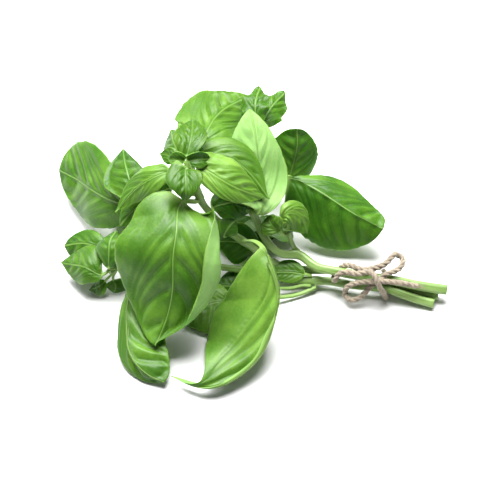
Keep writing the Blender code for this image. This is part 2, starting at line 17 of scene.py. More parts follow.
import bpy
import numpy as np
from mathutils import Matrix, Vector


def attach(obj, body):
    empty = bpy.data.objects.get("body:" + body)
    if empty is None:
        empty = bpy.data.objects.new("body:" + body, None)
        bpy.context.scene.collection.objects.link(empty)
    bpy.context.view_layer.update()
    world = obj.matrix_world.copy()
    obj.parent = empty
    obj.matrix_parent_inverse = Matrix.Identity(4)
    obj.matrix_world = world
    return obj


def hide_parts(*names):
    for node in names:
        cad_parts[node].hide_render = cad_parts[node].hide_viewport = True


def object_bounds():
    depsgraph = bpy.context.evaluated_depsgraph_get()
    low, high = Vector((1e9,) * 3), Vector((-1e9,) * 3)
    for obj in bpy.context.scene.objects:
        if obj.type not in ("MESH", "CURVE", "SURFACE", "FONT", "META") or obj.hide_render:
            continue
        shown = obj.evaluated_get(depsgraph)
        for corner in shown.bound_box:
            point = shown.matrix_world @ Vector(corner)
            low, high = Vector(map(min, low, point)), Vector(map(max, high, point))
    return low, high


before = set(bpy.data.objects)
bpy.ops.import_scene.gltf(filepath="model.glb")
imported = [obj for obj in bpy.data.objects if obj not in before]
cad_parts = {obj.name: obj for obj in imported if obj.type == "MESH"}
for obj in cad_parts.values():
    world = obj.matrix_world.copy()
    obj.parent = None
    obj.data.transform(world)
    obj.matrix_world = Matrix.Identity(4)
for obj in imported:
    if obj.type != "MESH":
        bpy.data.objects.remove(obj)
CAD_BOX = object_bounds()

LOG = logging.getLogger("basil")
Array = np.ndarray
Point = tuple[float, float, float]
Pair = tuple[float, float]
Colour = tuple[float, float, float, float]
MM = 0.001
MAKER_CENTRE = np.array((-2.7, 9.0, 0.03))
GAP = 0.3  # Clear space between a packed stalk and its stem, in millimetres.
BODY = "root"


def unit(vectors: Array) -> Array:
    """Vectors scaled to length one."""
    return vectors / np.linalg.norm(vectors, axis=-1, keepdims=True)


def smooth_step(value: Array, low: float, high: float) -> Array:
    """0 below low, 1 above high and a cubic ease between: s squared times (3 - 2 s)."""
    share = np.clip((value - low) / (high - low), 0.0, 1.0)
    return share * share * (3.0 - 2.0 * share)


def bell(distance: Array, reach: float) -> Array:
    """1 at distance 0, falling off as exp(-(distance / reach) squared)."""
    return np.exp(-((distance / reach) ** 2))


def between(at: Array, stops: Array, rows: Array) -> Array:
    """Rows of three numbers, read at places between their stops on straight lines."""
    return np.stack([np.interp(at, stops, rows[:, axis]) for axis in range(3)], axis=1)


def rings(points: Array, across: Array, above: Array, spread: Array, turn: Array) -> Array:
    """Rings round a line: each point plus spread times (cos turn across + sin turn above).

    Args:
        points: Places along the line, one for each ring.
        across: A unit direction square to the line at each place.
        above: The unit direction square to both.
        spread: Distances from the line, one for each ring or for each point of it.
        turn: Angles in radians.

    Returns:
        Points of shape (rings, points of a ring, 3).
    """
    skin = points[:, None] + (spread * np.cos(turn))[..., None] * across[:, None]
    return skin + (spread * np.sin(turn))[..., None] * above[:, None]


def stand(name: str, data: bpy.types.ID) -> bpy.types.Object:
    """A new object, linked to the scene.

    Args:
        name: The object's name.
        data: Its mesh, camera or light.

    Returns:
        The object.
    """
    made = bpy.data.objects.new(name, data)
    bpy.context.scene.collection.objects.link(made)
    return made


@dataclass(frozen=True)
class SmoothLine:
    """A natural cubic spline through a few points, read as a dense polyline."""

    points: tuple[Point, ...]
    samples: int = 900

    def dense(self) -> tuple[Array, Array]:
        """The polyline and its running length.

        Between two points the curve is the cubic whose second derivative runs straight from one
        point's curvature to the next; the curvatures solve the usual tridiagonal system.

        Returns:
            Points along the curve, and the distance of each from the start.
        """
        points = np.array(self.points, float)
        gaps = np.linalg.norm(np.diff(points, axis=0), axis=1)
        knots = np.concatenate([[0.0], np.cumsum(gaps)])
        count = len(points)
        slopes = np.diff(points, axis=0) / gaps[:, None]
        system = np.eye(count)
        inner = np.arange(1, count - 1)
        system[inner, inner - 1] = gaps[:-1]
        system[inner, inner] = 2 * (gaps[:-1] + gaps[1:])
        system[inner, inner + 1] = gaps[1:]
        target = np.zeros((count, 3))
        target[1:-1] = 6 * np.diff(slopes, axis=0)
        bent = np.linalg.solve(system, target)
        at = np.linspace(0.0, knots[-1], self.samples)
        span = np.clip(np.searchsorted(knots, at, side="right") - 1, 0, count - 2)
        width = gaps[span][:, None]
        ahead = knots[span + 1][:, None] - at[:, None]
        behind = at[:, None] - knots[span][:, None]
        line = (bent[span] * ahead**3 + bent[span + 1] * behind**3) / (6 * width)
        line += (points[span] / width - bent[span] * width / 6) * ahead
        line += (points[span + 1] / width - bent[span + 1] * width / 6) * behind
        steps = np.linalg.norm(np.diff(line, axis=0), axis=1)
        return line, np.concatenate([[0.0], np.cumsum(steps)])

    def read(self, at: Array) -> tuple[Array, Array]:
        """Points and unit directions at given distances from the start.

        Args:
            at: Distances along the curve, in millimetres.

        Returns:
            Points and unit tangents, each with one row for each distance.
        """
        line, lengths = self.dense()
        ways = np.gradient(line, lengths, axis=0)
        return between(at, lengths, line), unit(between(at, lengths, ways))

    def length(self) -> float:
        """The curve's whole length in millimetres."""
        return float(self.dense()[1][-1])


@dataclass(frozen=True)
class SoftNoise:
    """Smooth random heights on a plane, from -1 to 1."""

    seed: int
    size: int = 96

    def at(self, across: Array, along: Array) -> Array:
        """Random values on whole numbers, blended by the cubic ease between them.

        Args:
            across: First coordinate, one unit for each random value.
            along: Second coordinate.

        Returns:
            Heights of the shape that both coordinates have together.
        """
        values = np.random.default_rng(self.seed).uniform(-1, 1, (self.size, self.size))
        column, row = np.floor(across).astype(int), np.floor(along).astype(int)
        x, y = smooth_step(across - column, 0, 1), smooth_step(along - row, 0, 1)
        ends = (column, column + 1, row, row + 1)
        near, far, low, high = (index % self.size for index in ends)
        lower = values[near, low] * (1 - x) + values[far, low] * x
        upper = values[near, high] * (1 - x) + values[far, high] * x
        return lower * (1 - y) + upper * y


class Skin:
    """Writes grids of rings as closed meshes, each one piece of the bunch."""

    @staticmethod
    def faces(rows: int, columns: int, first: int) -> tuple[Array, Array]:
        """Quads between neighbouring rings, and a fan of triangles on each end.

        Args:
            rows: Number of rings.
            columns: Points in each ring.
            first: Index of the first point; the two fan centres follow the last ring.

        Returns:
            Quads and triangles as arrays of point indices.
        """
        row, column = np.meshgrid(np.arange(rows - 1), np.arange(columns), indexing="ij")
        here, after = row * columns + column, row * columns + (column + 1) % columns
        quads = np.stack([here, after, after + columns, here + columns], axis=-1).reshape(-1, 4)
        ring = np.arange(columns)
        turned = (ring + 1) % columns
        centre, last = np.full(columns, rows * columns), (rows - 1) * columns
        start = np.stack([centre, turned, ring], axis=-1)
        finish = np.stack([centre + 1, last + ring, last + turned], axis=-1)
        return quads + first, np.concatenate([start, finish]) + first

    @classmethod
    def piece(cls, name: str, parts: list[tuple[Array, dict[str, Array]]]) -> bpy.types.Object:
        """One object made of one or more closed tubes of rings.

        Args:
            name: The object's name.
            parts: For each tube its rings, of shape (rows, columns, 3), in maker's millimetres,
                and its attributes by name, of shape (rows, columns).

        Returns:
            The finished object, smooth shaded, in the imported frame.
        """
        points, quads, triangles, first = [], [], [], 0
        values: dict[str, list[Array]] = {key: [] for key in parts[0][1]}
        for grid, attributes in parts:
            points += [grid.reshape(-1, 3), grid[0].mean(0)[None], grid[-1].mean(0)[None]]
            some, more = cls.faces(*grid.shape[:2], first)
            quads.append(some)
            triangles.append(more)
            for key, value in attributes.items():
                values[key] += [value.reshape(-1), value[:1].mean(1), value[-1:].mean(1)]
            first += grid.shape[0] * grid.shape[1] + 2
        spots = (np.concatenate(points) - MAKER_CENTRE) * MM
        four, three = np.concatenate(quads), np.concatenate(triangles)
        mesh = bpy.data.meshes.new(name)
        mesh.vertices.add(len(spots))
        mesh.vertices.foreach_set("co", spots.astype(np.float32).ravel())
        corners = np.concatenate([four.ravel(), three.ravel()])
        mesh.loops.add(len(corners))
        mesh.loops.foreach_set("vertex_index", corners.astype(np.int32))
        starts = [np.arange(len(four)) * 4, len(four) * 4 + np.arange(len(three)) * 3]
        mesh.polygons.add(len(four) + len(three))
        mesh.polygons.foreach_set("loop_start", np.concatenate(starts).astype(np.int32))
        mesh.update(calc_edges=True)
        mesh.validate()
        mesh.shade_smooth()
        for key, sets in values.items():
            layer = mesh.attributes.new(key, "FLOAT", "POINT")
            layer.data.foreach_set("value", np.concatenate(sets).astype(np.float32))
        return stand(name, mesh)


def place(piece: bpy.types.Object, node: str, skin: bpy.types.Material) -> None:
    """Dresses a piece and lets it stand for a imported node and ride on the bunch.

    Args:
        piece: The finished object.
        node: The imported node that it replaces.
        skin: The material that it wears.
    """
    piece.data.materials.append(skin)
    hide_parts(node)
    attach(piece, BODY)
    LOG.info("%s: %d points", piece.name, len(piece.data.vertices))


class NodeSheet:
    """Short ways to lay out one material's shader nodes."""

    def __init__(self, name: str) -> None:
        """Starts a material that holds only its shader and its output.

        Args:
            name: The material's name.
        """
        self.material = bpy.data.materials.new(name)
        self.material.use_nodes = True
        self.tree = self.material.node_tree
        self.shader = self.tree.nodes["Principled BSDF"]

    def feed(self, socket: bpy.types.NodeSocket, value: object) -> None:
        """Links an output socket to an input, or sets the input's own value.

        Args:
            socket: The input.
            value: An output socket, a number or a colour.
        """
        if isinstance(value, bpy.types.NodeSocket):
            self.tree.links.new(value, socket)
        else:
            socket.default_value = value

    def fill(self, node: bpy.types.Node, inputs: dict[str, object]) -> bpy.types.Node:
        """Feeds a node's inputs by name.

        Args:
            node: The node.
            inputs: Values or output sockets by input name, with _ for a space.

        Returns:
            The same node.
        """
        for key, value in inputs.items():
            self.feed(node.inputs[key.replace("_", " ")], value)
        return node

    def add(self, kind: str, settings: dict | None = None, **inputs: object) -> bpy.types.Node:
        """Adds a node, sets its properties and fills its inputs.

        Args:
            kind: The node's type name without its ShaderNode prefix.
            settings: Properties by name.
            **inputs: Values or output sockets by input name, with _ for a space.

        Returns:
            The new node.
        """
        node = self.tree.nodes.new("ShaderNode" + kind)
        for key, value in (settings or {}).items():
            setattr(node, key, value)
        return self.fill(node, inputs)

    def finish(self, **inputs: object) -> bpy.types.Material:
        """Fills the shader's own inputs and hands over the material."""
        self.fill(self.shader, inputs)
        return self.material

    def math(self, operation: str, *values: object) -> bpy.types.NodeSocket:
        """One Math node's result.

        Args:
            operation: The node's operation.
            *values: Its inputs in order.

        Returns:
            The output socket.
        """
        node = self.add("Math", {"operation": operation})
        for socket, value in zip(node.inputs, values):
            self.feed(socket, value)
        return node.outputs[0]

    def times(self, first: object, *others: object) -> bpy.types.NodeSocket:
        """The product of all the values.

        Args:
            first: A value or an output socket.
            *others: What it is multiplied with, one after another.

        Returns:
            The product's socket.
        """
        for other in others:
            first = self.math("MULTIPLY", first, other)
        return first

    def blend(self, share: object, first: object, second: object) -> bpy.types.NodeSocket:
        """A colour between two.

        Args:
            share: How much of the second, from 0 to 1.
            first: The colour at 0.
            second: The colour at 1.

        Returns:
            The colour's socket.
        """
        node = self.add("Mix", {"data_type": "RGBA"}, Factor=share)
        self.feed(node.inputs[6], first)
        self.feed(node.inputs[7], second)
        return node.outputs[2]

    def ramp(self, value: object, low: float, high: float, start: float = 0.0,
             stop: float = 1.0) -> bpy.types.NodeSocket:
        """A smooth step between two values.

        Args:
            value: What is measured.
            low: Where the step starts.
            high: Where it ends.
            start: The result up to low.
            stop: The result from high on.

        Returns:
            The result's socket.
        """
        node = self.add("MapRange", {"interpolation_type": "SMOOTHSTEP"})
        for socket, number in zip(node.inputs[:5], (value, low, high, start, stop)):
            self.feed(socket, number)
        return node.outputs[0]

    def line(self, distance: object, band: Pair) -> bpy.types.NodeSocket:
        """1 up to the band's first distance, easing to 0 at its second."""
        return self.ramp(distance, *band, 1.0, 0.0)

    def attribute(self, name: str) -> bpy.types.NodeSocket:
        """A mesh attribute's value."""
        return self.add("Attribute", {"attribute_name": name}).outputs["Fac"]

    def here(self) -> bpy.types.NodeSocket:
        """The object coordinates, in metres."""
        return self.add("TexCoord").outputs["Object"]

    def noise(self, scale: float, detail: float = 2.0, roughness: float = 0.5,
              spot: object = None) -> bpy.types.NodeSocket:
        """Noise over a place, or else over the object coordinates.

        Args:
            scale: Repeats for each unit of the place, or for each metre.
            detail: The noise's detail.
            roughness: The noise's roughness.
            spot: The place.

        Returns:
            The noise's socket.
        """
        node = self.add("TexNoise", Vector=self.here() if spot is None else spot, Scale=scale,
                        Detail=detail, Roughness=roughness)
        return node.outputs["Fac"]

    def grain(self, fineness: Pair, scale: float, detail: float,
              roughness: float) -> bpy.types.NodeSocket:
        """Noise over a tube's skin, stretched along it.

        Args:
            fineness: How much the turn and the along attributes count.
            scale: Repeats for each unit.
            detail: The noise's detail.
            roughness: The noise's roughness.

        Returns:
            The noise's socket.
        """
        turn, along = (self.times(self.attribute(name), share)
                       for name, share in zip(("turn", "along"), fineness))
        spot = self.add("CombineXYZ", X=turn, Y=along, Z=self.attribute("lift")).outputs[0]
        return self.noise(scale, detail, roughness, spot)

    def mottle(self, first: object, second: object, share: float,
               band: Pair) -> bpy.types.NodeSocket:
        """A smooth step over two noises added together.

        Args:
            first: One noise.
            second: The other noise, which counts for the rest.
            share: How much the first counts.
            band: Where the step starts and ends.

        Returns:
            The result's socket.
        """
        both = self.math("ADD", self.times(first, share), self.times(second, 1 - share))
        return self.ramp(both, *band)

    def bump(self, height: object, depth: float, strength: float = 1.0,
             under: object = None) -> bpy.types.NodeSocket:
        """A bump, on top of another if there is one.

        Args:
            height: The height from 0 to 1.
            depth: What a height of 1 stands for, in metres.
            strength: How much of it shows.
            under: The bump underneath.

        Returns:
            The normal's socket.
        """
        node = self.add("Bump", Height=height, Distance=depth, Strength=strength)
        if under is not None:
            self.feed(node.inputs["Normal"], under)
        return node.outputs[0]


class Age(Enum):
    """How grown a leaf is, as a share that sets its colour and its puckering."""

    YOUNG = 0.0
    GROWING = 0.45
    GROWN = 0.8
    OLD = 1.0


@dataclass(frozen=True)
class LeafFinish:
    """Soft green skin with pale sunk veins above, and a duller pale green skin below.

    A line, or a band of painted shade along a vein or the midrib, has its full tone up to its
    first distance and none past its second, in millimetres. Paired tones are for the upper and
    the lower face. Scales are in repeats for each metre, and depths in metres.
    """

    name: str = "leaf_skin"
    young: Colour = (0.057, 0.130, 0.007, 1)
    grown: Colour = (0.076, 0.186, 0.012, 1)
    young_dark: Colour = (0.027, 0.092, 0.003, 1)
    grown_dark: Colour = (0.019, 0.078, 0.0025, 1)
    # Tones that the pale attribute lightens the skin towards: partly a paler base, partly painted
    # light.
    pale: Colour = (0.200, 0.350, 0.060, 1)
    pale_dark: Colour = (0.110, 0.235, 0.024, 1)
    vein: Colour = (0.155, 0.28, 0.055, 1)
    below: Colour = (0.205, 0.355, 0.105, 1)
    below_dark: Colour = (0.150, 0.290, 0.070, 1)
    stalk: Colour = (0.190, 0.320, 0.075, 1)
    rib_line: Pair = (0.17, 0.578)
    vein_line: Pair = (0.056, 0.304)
    # Bands of painted shade along the midrib and the side veins, as if their creases lay in shadow,
    # and how far they darken the top.
    rib_shade_band: Pair = (0.3, 2.4)
    vein_shade_band: Pair = (0.15, 1.5)
    crease_shade_tone: float = 0.7
    vein_tones: Pair = (0.75, 0.85)
    net_tones: Pair = (0.05, 0.10)
    edge_tone: float = 0.5
    patch_scale: float = 70.0
    grain_scale: float = 900.0
    cell_scale: float = 1150.0
    cell_line: Pair = (0.0, 0.12)
    roughness: float = 0.33
    vein_depth: float = 0.00022
    net_depth: float = 0.000012
    grain_depth: float = 0.00004

    def material(self) -> bpy.types.Material:
        """Lays out the shader.

        Vein lines are where the vein phase is near a whole number, widened by the distance that
        one phase covers; they are fainter where veins crowd, the side veins on old leaves and
        the midrib on young ones. Painted shade darkens the top in a band along each vein and the
        midrib, as if those sunk creases lay in shadow, and the net between the veins is the edges
        of a cell pattern. The skin is patchy between a light and a dark tone, which turn paler
        with the leaf's own pale attribute: partly a paler base, partly painted light.

        Returns:
            The material.
        """
        sheet = NodeSheet(self.name)
        names = ("age", "under", "rib", "phase", "pitch", "fade", "stalk", "edge", "pale")
        age, under, rib, phase, pitch, fade, stalk, edge, pale = map(sheet.attribute, names)
        fine, wide = sheet.noise(self.grain_scale, 3, 0.6), sheet.noise(self.patch_scale)
        from_vein = sheet.times(sheet.math("PINGPONG", phase, 0.5), pitch)
        from_rib = sheet.math("ABSOLUTE", rib)
        side = sheet.times(sheet.line(from_vein, self.vein_line), fade,
                           sheet.ramp(pitch, 1.5, 6.0, 0.1, 0.35), sheet.ramp(age, 0.5, 1, 1, 0.45))
        middle = sheet.times(sheet.line(from_rib, self.rib_line), sheet.ramp(age, 0, 0.8, 0.35, 1))
        veins = sheet.math("MAXIMUM", side, middle)
        cells = sheet.add("TexVoronoi", {"feature": "DISTANCE_TO_EDGE"}, Vector=sheet.here(),
                          Scale=self.cell_scale).outputs["Distance"]
        net = sheet.line(cells, self.cell_line)
        # Painted shade: the top darkens along each vein and the midrib, standing in for shadow in
        # the sunk creases.
        painted_crease_shade = sheet.math("MAXIMUM", sheet.times(sheet.line(from_vein, self.vein_shade_band), fade),
                            sheet.line(from_rib, self.rib_shade_band))
        # The pale attribute lightens the top towards its base: partly the leaf's own paler base,
        # partly painted light on leaves that face the light.
        light = sheet.blend(pale, sheet.blend(age, self.young, self.grown), self.pale)
        dark = sheet.blend(pale, sheet.blend(age, self.young_dark, self.grown_dark), self.pale_dark)
        patch = sheet.mottle(wide, fine, 0.75, (0.32, 0.68))
        top = sheet.blend(patch, dark, light)
        # The painted shade pulls the top towards its dark tone.
        top = sheet.blend(sheet.times(painted_crease_shade, self.crease_shade_tone), top, dark)
        skins = [top, sheet.blend(patch, self.below_dark, self.below)]
        for face in range(2):
            for mask, tones in ((net, self.net_tones), (veins, self.vein_tones)):
                skins[face] = sheet.blend(sheet.times(mask, tones[face]), skins[face], self.vein)
        skin = sheet.blend(under, *skins)
        skin = sheet.blend(sheet.times(edge, self.edge_tone), skin, self.vein)
        rough = sheet.math("MULTIPLY_ADD", fine, 0.16, self.roughness)
        outwards = sheet.ramp(under, 0, 1, -1, 1)
        sunk = sheet.bump(sheet.times(veins, outwards), self.vein_depth)
        netted = sheet.bump(sheet.times(net, outwards), self.net_depth, 1.0, sunk)
        return sheet.finish(
            Base_Color=sheet.blend(stalk, skin, self.stalk),
            Roughness=sheet.math("MULTIPLY_ADD", under, 0.22, rough),
            Normal=sheet.bump(fine, self.grain_depth, 0.6, netted),
            Specular_IOR_Level=0.22,
            Subsurface_Weight=0.25, Subsurface_Radius=(0.45, 1.0, 0.14), Subsurface_Scale=0.0012,
        )


@dataclass(frozen=True)
class StemFinish:
    """Pale green, juicy, faintly streaked skin, with a paler pith where a stem is cut.

    The streaks' two numbers are how fast they change round the stem and along it.
    """

    name: str = "stem_skin"
    light: Colour = (0.225, 0.345, 0.105, 1)
    dark: Colour = (0.130, 0.240, 0.045, 1)
    pith: Colour = (0.30, 0.40, 0.18, 1)
    streaks: Pair = (2.2, 0.03)
    patch_scale: float = 60.0
    gloss_scale: float = 1500.0
    grain_scale: float = 2600.0
    roughness: float = 0.28
    streak_depth: float = 0.00018
    grain_depth: float = 0.00004

    def material(self) -> bpy.types.Material:
        """Lays out the shader.

        The streaks are noise over the angle round the stem, stretched along it; the same noise
        raises faint ridges, and a finer one roughens the skin.

        Returns:
            The material.
        """
        sheet = NodeSheet(self.name)
        streak = sheet.grain(self.streaks, 2.4, 3.0, 0.6)
        share = sheet.mottle(streak, sheet.noise(self.patch_scale), 0.65, (0.36, 0.62))
        skin = sheet.blend(share, self.dark, self.light)
        ridged = sheet.bump(streak, self.streak_depth, 0.8)
        gloss = sheet.noise(self.gloss_scale)
        return sheet.finish(
            Base_Color=sheet.blend(sheet.attribute("cut"), skin, self.pith),
            Roughness=sheet.math("MULTIPLY_ADD", gloss, 0.2, self.roughness),
            Normal=sheet.bump(sheet.noise(self.grain_scale), self.grain_depth, 0.6, ridged),
            Subsurface_Weight=0.3, Subsurface_Radius=(0.6, 1.0, 0.3), Subsurface_Scale=0.0012,
        )


@dataclass(frozen=True)
class JuteFinish:
    """Dull, fibrous, unevenly coloured jute.

    The fibres' two numbers are how fast they change round a ply and along it.
    """

    name: str = "jute"
    light: Colour = (0.40, 0.335, 0.25, 1)
    dark: Colour = (0.17, 0.135, 0.092, 1)
    fibres: Pair = (3.2, 0.22)
    patch_scale: float = 240.0
    fibre_depth: float = 0.0003

    def material(self) -> bpy.types.Material:
        """Lays out the shader.

        The fibres are noise that is stretched along each ply and fine across it, in colour and
        in height.

        Returns:
            The material.
        """
        sheet = NodeSheet(self.name)
        fibre = sheet.grain(self.fibres, 4.0, 4.0, 0.7)
        share = sheet.mottle(fibre, sheet.noise(self.patch_scale, 3, 0.6), 0.6, (0.34, 0.64))
        return sheet.finish(
            Base_Color=sheet.blend(share, self.dark, self.light),
            Normal=sheet.bump(fibre, self.fibre_depth),
            Roughness=0.92, Specular_IOR_Level=0.2, Sheen_Weight=0.25,
        )


@dataclass(frozen=True)
class Side:
    """One half of a blade. Angles are in degrees, measured up from the midrib's own plane."""

    fold: float = -6.0
    bend: float = -25.0
    roll: float = 0.0
    roll_from: float = 0.8
    share: float = 1.0
    base: float = 0.6
    tip: float = 0.85
    roll_over: float = 0.25
    roll_power: float = 1.3
    unfolding: float = 0.12

    def slope(self, along: Array, out: Array) -> Array:
        """The fold, plus an even bend, plus the roll over the stretch that it takes.

        Fold and bend grow from nothing over the unfolding; the roll fades at base and tip.

        Args:
            along: Shares of the blade's length, as a column.
            out: Shares of the half width, as a row.

        Returns:
            Slopes in radians, as rows by columns.
        """
        growth = np.clip(along / self.unfolding, 0, 1)
        window = np.sin(math.pi * np.clip(along, 0, 1)) ** 0.6
        rolled = np.clip((out - self.roll_from) / self.roll_over, 0, 1) ** self.roll_power
        return np.radians((self.fold + self.bend * out) * growth + self.roll * rolled * window)


@dataclass(frozen=True)
class Veins:
    """Where a blade's side veins run, each climbing from the midrib towards the tip."""

    lean: float = 0.68
    arch: float = 1.25
    count: float = 6.3
    spread: float = 0.8

    def start(self, along: Array, out: Array) -> Array:
        """The place on the midrib where the vein through a spot starts.

        A vein that starts at s is at s + (1 - s) climb at a share out of the half width, where
        climb is lean times out to the power of arch; this solves that for s.

        Args:
            along: Share of the blade's length, from base to tip.
            out: Share of the half width, from midrib to margin.

        Returns:
            Shares of the blade's length, below 0 where no vein passes.
        """
        climb = self.lean * out**self.arch
        return (along - climb) / (1 - climb)

    def phase(self, start: Array) -> Array:
        """A whole number on each vein: count times start to the power of spread."""
        return self.count * np.maximum(start, 0.0) ** self.spread + np.minimum(start, 0.0)


class Grade(NamedTuple):
    """How finely a leaf of one size is built, how thick its stalk is and how deep its relief."""

    rows: int
    columns: int
    stalk_radius: float
    relief: float


LARGE = Grade(120, 34, 1.15, 1.0)
MIDDLE = Grade(84, 26, 0.95, 0.8)
SMALL = Grade(60, 20, 0.75, 0.6)
TINY = Grade(34, 12, 0.55, 0.35)


@dataclass(frozen=True)
class Stem:
    """A stem's centreline, its thickness at both ends, and where leaves swell it into nodes."""

    name: str
    points: tuple[Point, ...]
    thick: float
    thin: float
    nodes: tuple[float, ...] = ()
    joined_to: str = ""
    swelling: float = 0.22
    reach: float = 3.0
    squareness: float = 0.07
    fluting: float = 0.012
    wobble: float = 0.03
    flare: float = 0.7
    flare_reach: float = 2.6
    twist: float = 0.004
    cut_edge: Pair = (0.55, 0.93)
    tip: float = 0.4
    step: float = 0.8
    sides: int = 32

    def line(self) -> SmoothLine:
        """The centreline."""
        return SmoothLine(self.points)

    def radius(self, at: Array, length: float) -> Array:
        """A stem tapers evenly and swells by a bell at each node.

        Args:
            at: Distances from the thick end, in millimetres.
            length: The stem's length in millimetres.

        Returns:
            Radii in millimetres.
        """
        radius = (self.thick + (self.thin - self.thick) * at / length) / 2
        for node in self.nodes:
            radius = radius * (1 + self.swelling * bell(at - node, self.reach))
        return radius

    def tube(self) -> tuple[Array, dict[str, Array]]:
        """The stem's skin: slightly square rings with a soft groove along each flat side.

        Each ring is radius times (1 + squareness cos 4a - fluting cos 12a) round the centreline.
        A side shoot flares where it joins its stem, and a main stem's thick end is cut flat.

        Returns:
            Rings of points, and the skin's attributes.
        """
        line, length = self.line(), self.line().length()
        at = np.linspace(0.0, length, round(length / self.step) + 1)
        if not self.joined_to:
            at = np.concatenate([[0.0, 0.02, 0.12], at[1:]])
        points, tangents = line.read(at)
        uneven = SoftNoise(len(self.points) * 7 + 3).at(at / 5.0, np.zeros_like(at))
        radius = self.radius(at, length) * (1 + self.wobble * uneven)
        if self.joined_to:
            radius = radius * (1 + self.flare * bell(at, self.flare_reach))
        else:
            radius[:2] *= self.cut_edge
        radius[-1] *= self.tip
        across = unit(np.cross((0.0, 0.0, 1.0), tangents))
        angles = np.arange(self.sides) * math.tau / self.sides
        turn = angles[None] + self.twist * at[:, None]
        ridge = 1 + self.squareness * np.cos(4 * turn) - self.fluting * np.cos(12 * turn)
        skin = rings(points, across, np.cross(tangents, across), radius[:, None] * ridge, turn)
        every = np.ones(turn.shape)
        return skin, {
            "turn": every * np.cos(angles),
            "lift": every * np.sin(angles) * 2.2,
            "along": every * at[:, None],
            "cut": every * ((at < 0.05) & (not self.joined_to))[:, None],
        }


@dataclass(frozen=True)
class Relief:
    """Depths and spacings on a large leaf's skin, in millimetres; smaller leaves scale them."""

    rib_depth: float = 1.25
    rib_reach: float = 2.9
    vein_depth: float = 0.85
    young_vein_depth: float = 0.2
    vein_reach: float = 2.1
    vein_pitch: float = 4.5
    vein_sway: float = 0.05
    wrinkle: float = 0.16
    young_wrinkle: float = 0.1
    wrinkle_size: float = 6.5
    pucker: float = 0.14
    young_pucker: float = 1.0
    pucker_size: float = 3.4
    swell: float = 0.9
    swell_size: float = 15.0


@dataclass(frozen=True)
class Blade:
    """How every blade is made: lengths in millimetres, or shares of its length or half width."""

    thickness: float = 0.34
    ridge: float = 0.62
    ridge_reach: float = 0.55
    nick: float = 0.016
    nicks: float = 26.0
    row_crowding: float = 0.06
    column_power: float = 1.12
    stalk_step: float = 0.9
    stalk_slimming: float = 1.2
    slimmest: float = 0.22
    stalk_blend: float = 0.07
    foot_depth: float = 0.45
    foot_size: float = 1.35
    steps: int = 160


RELIEF = Relief()
BLADE = Blade()


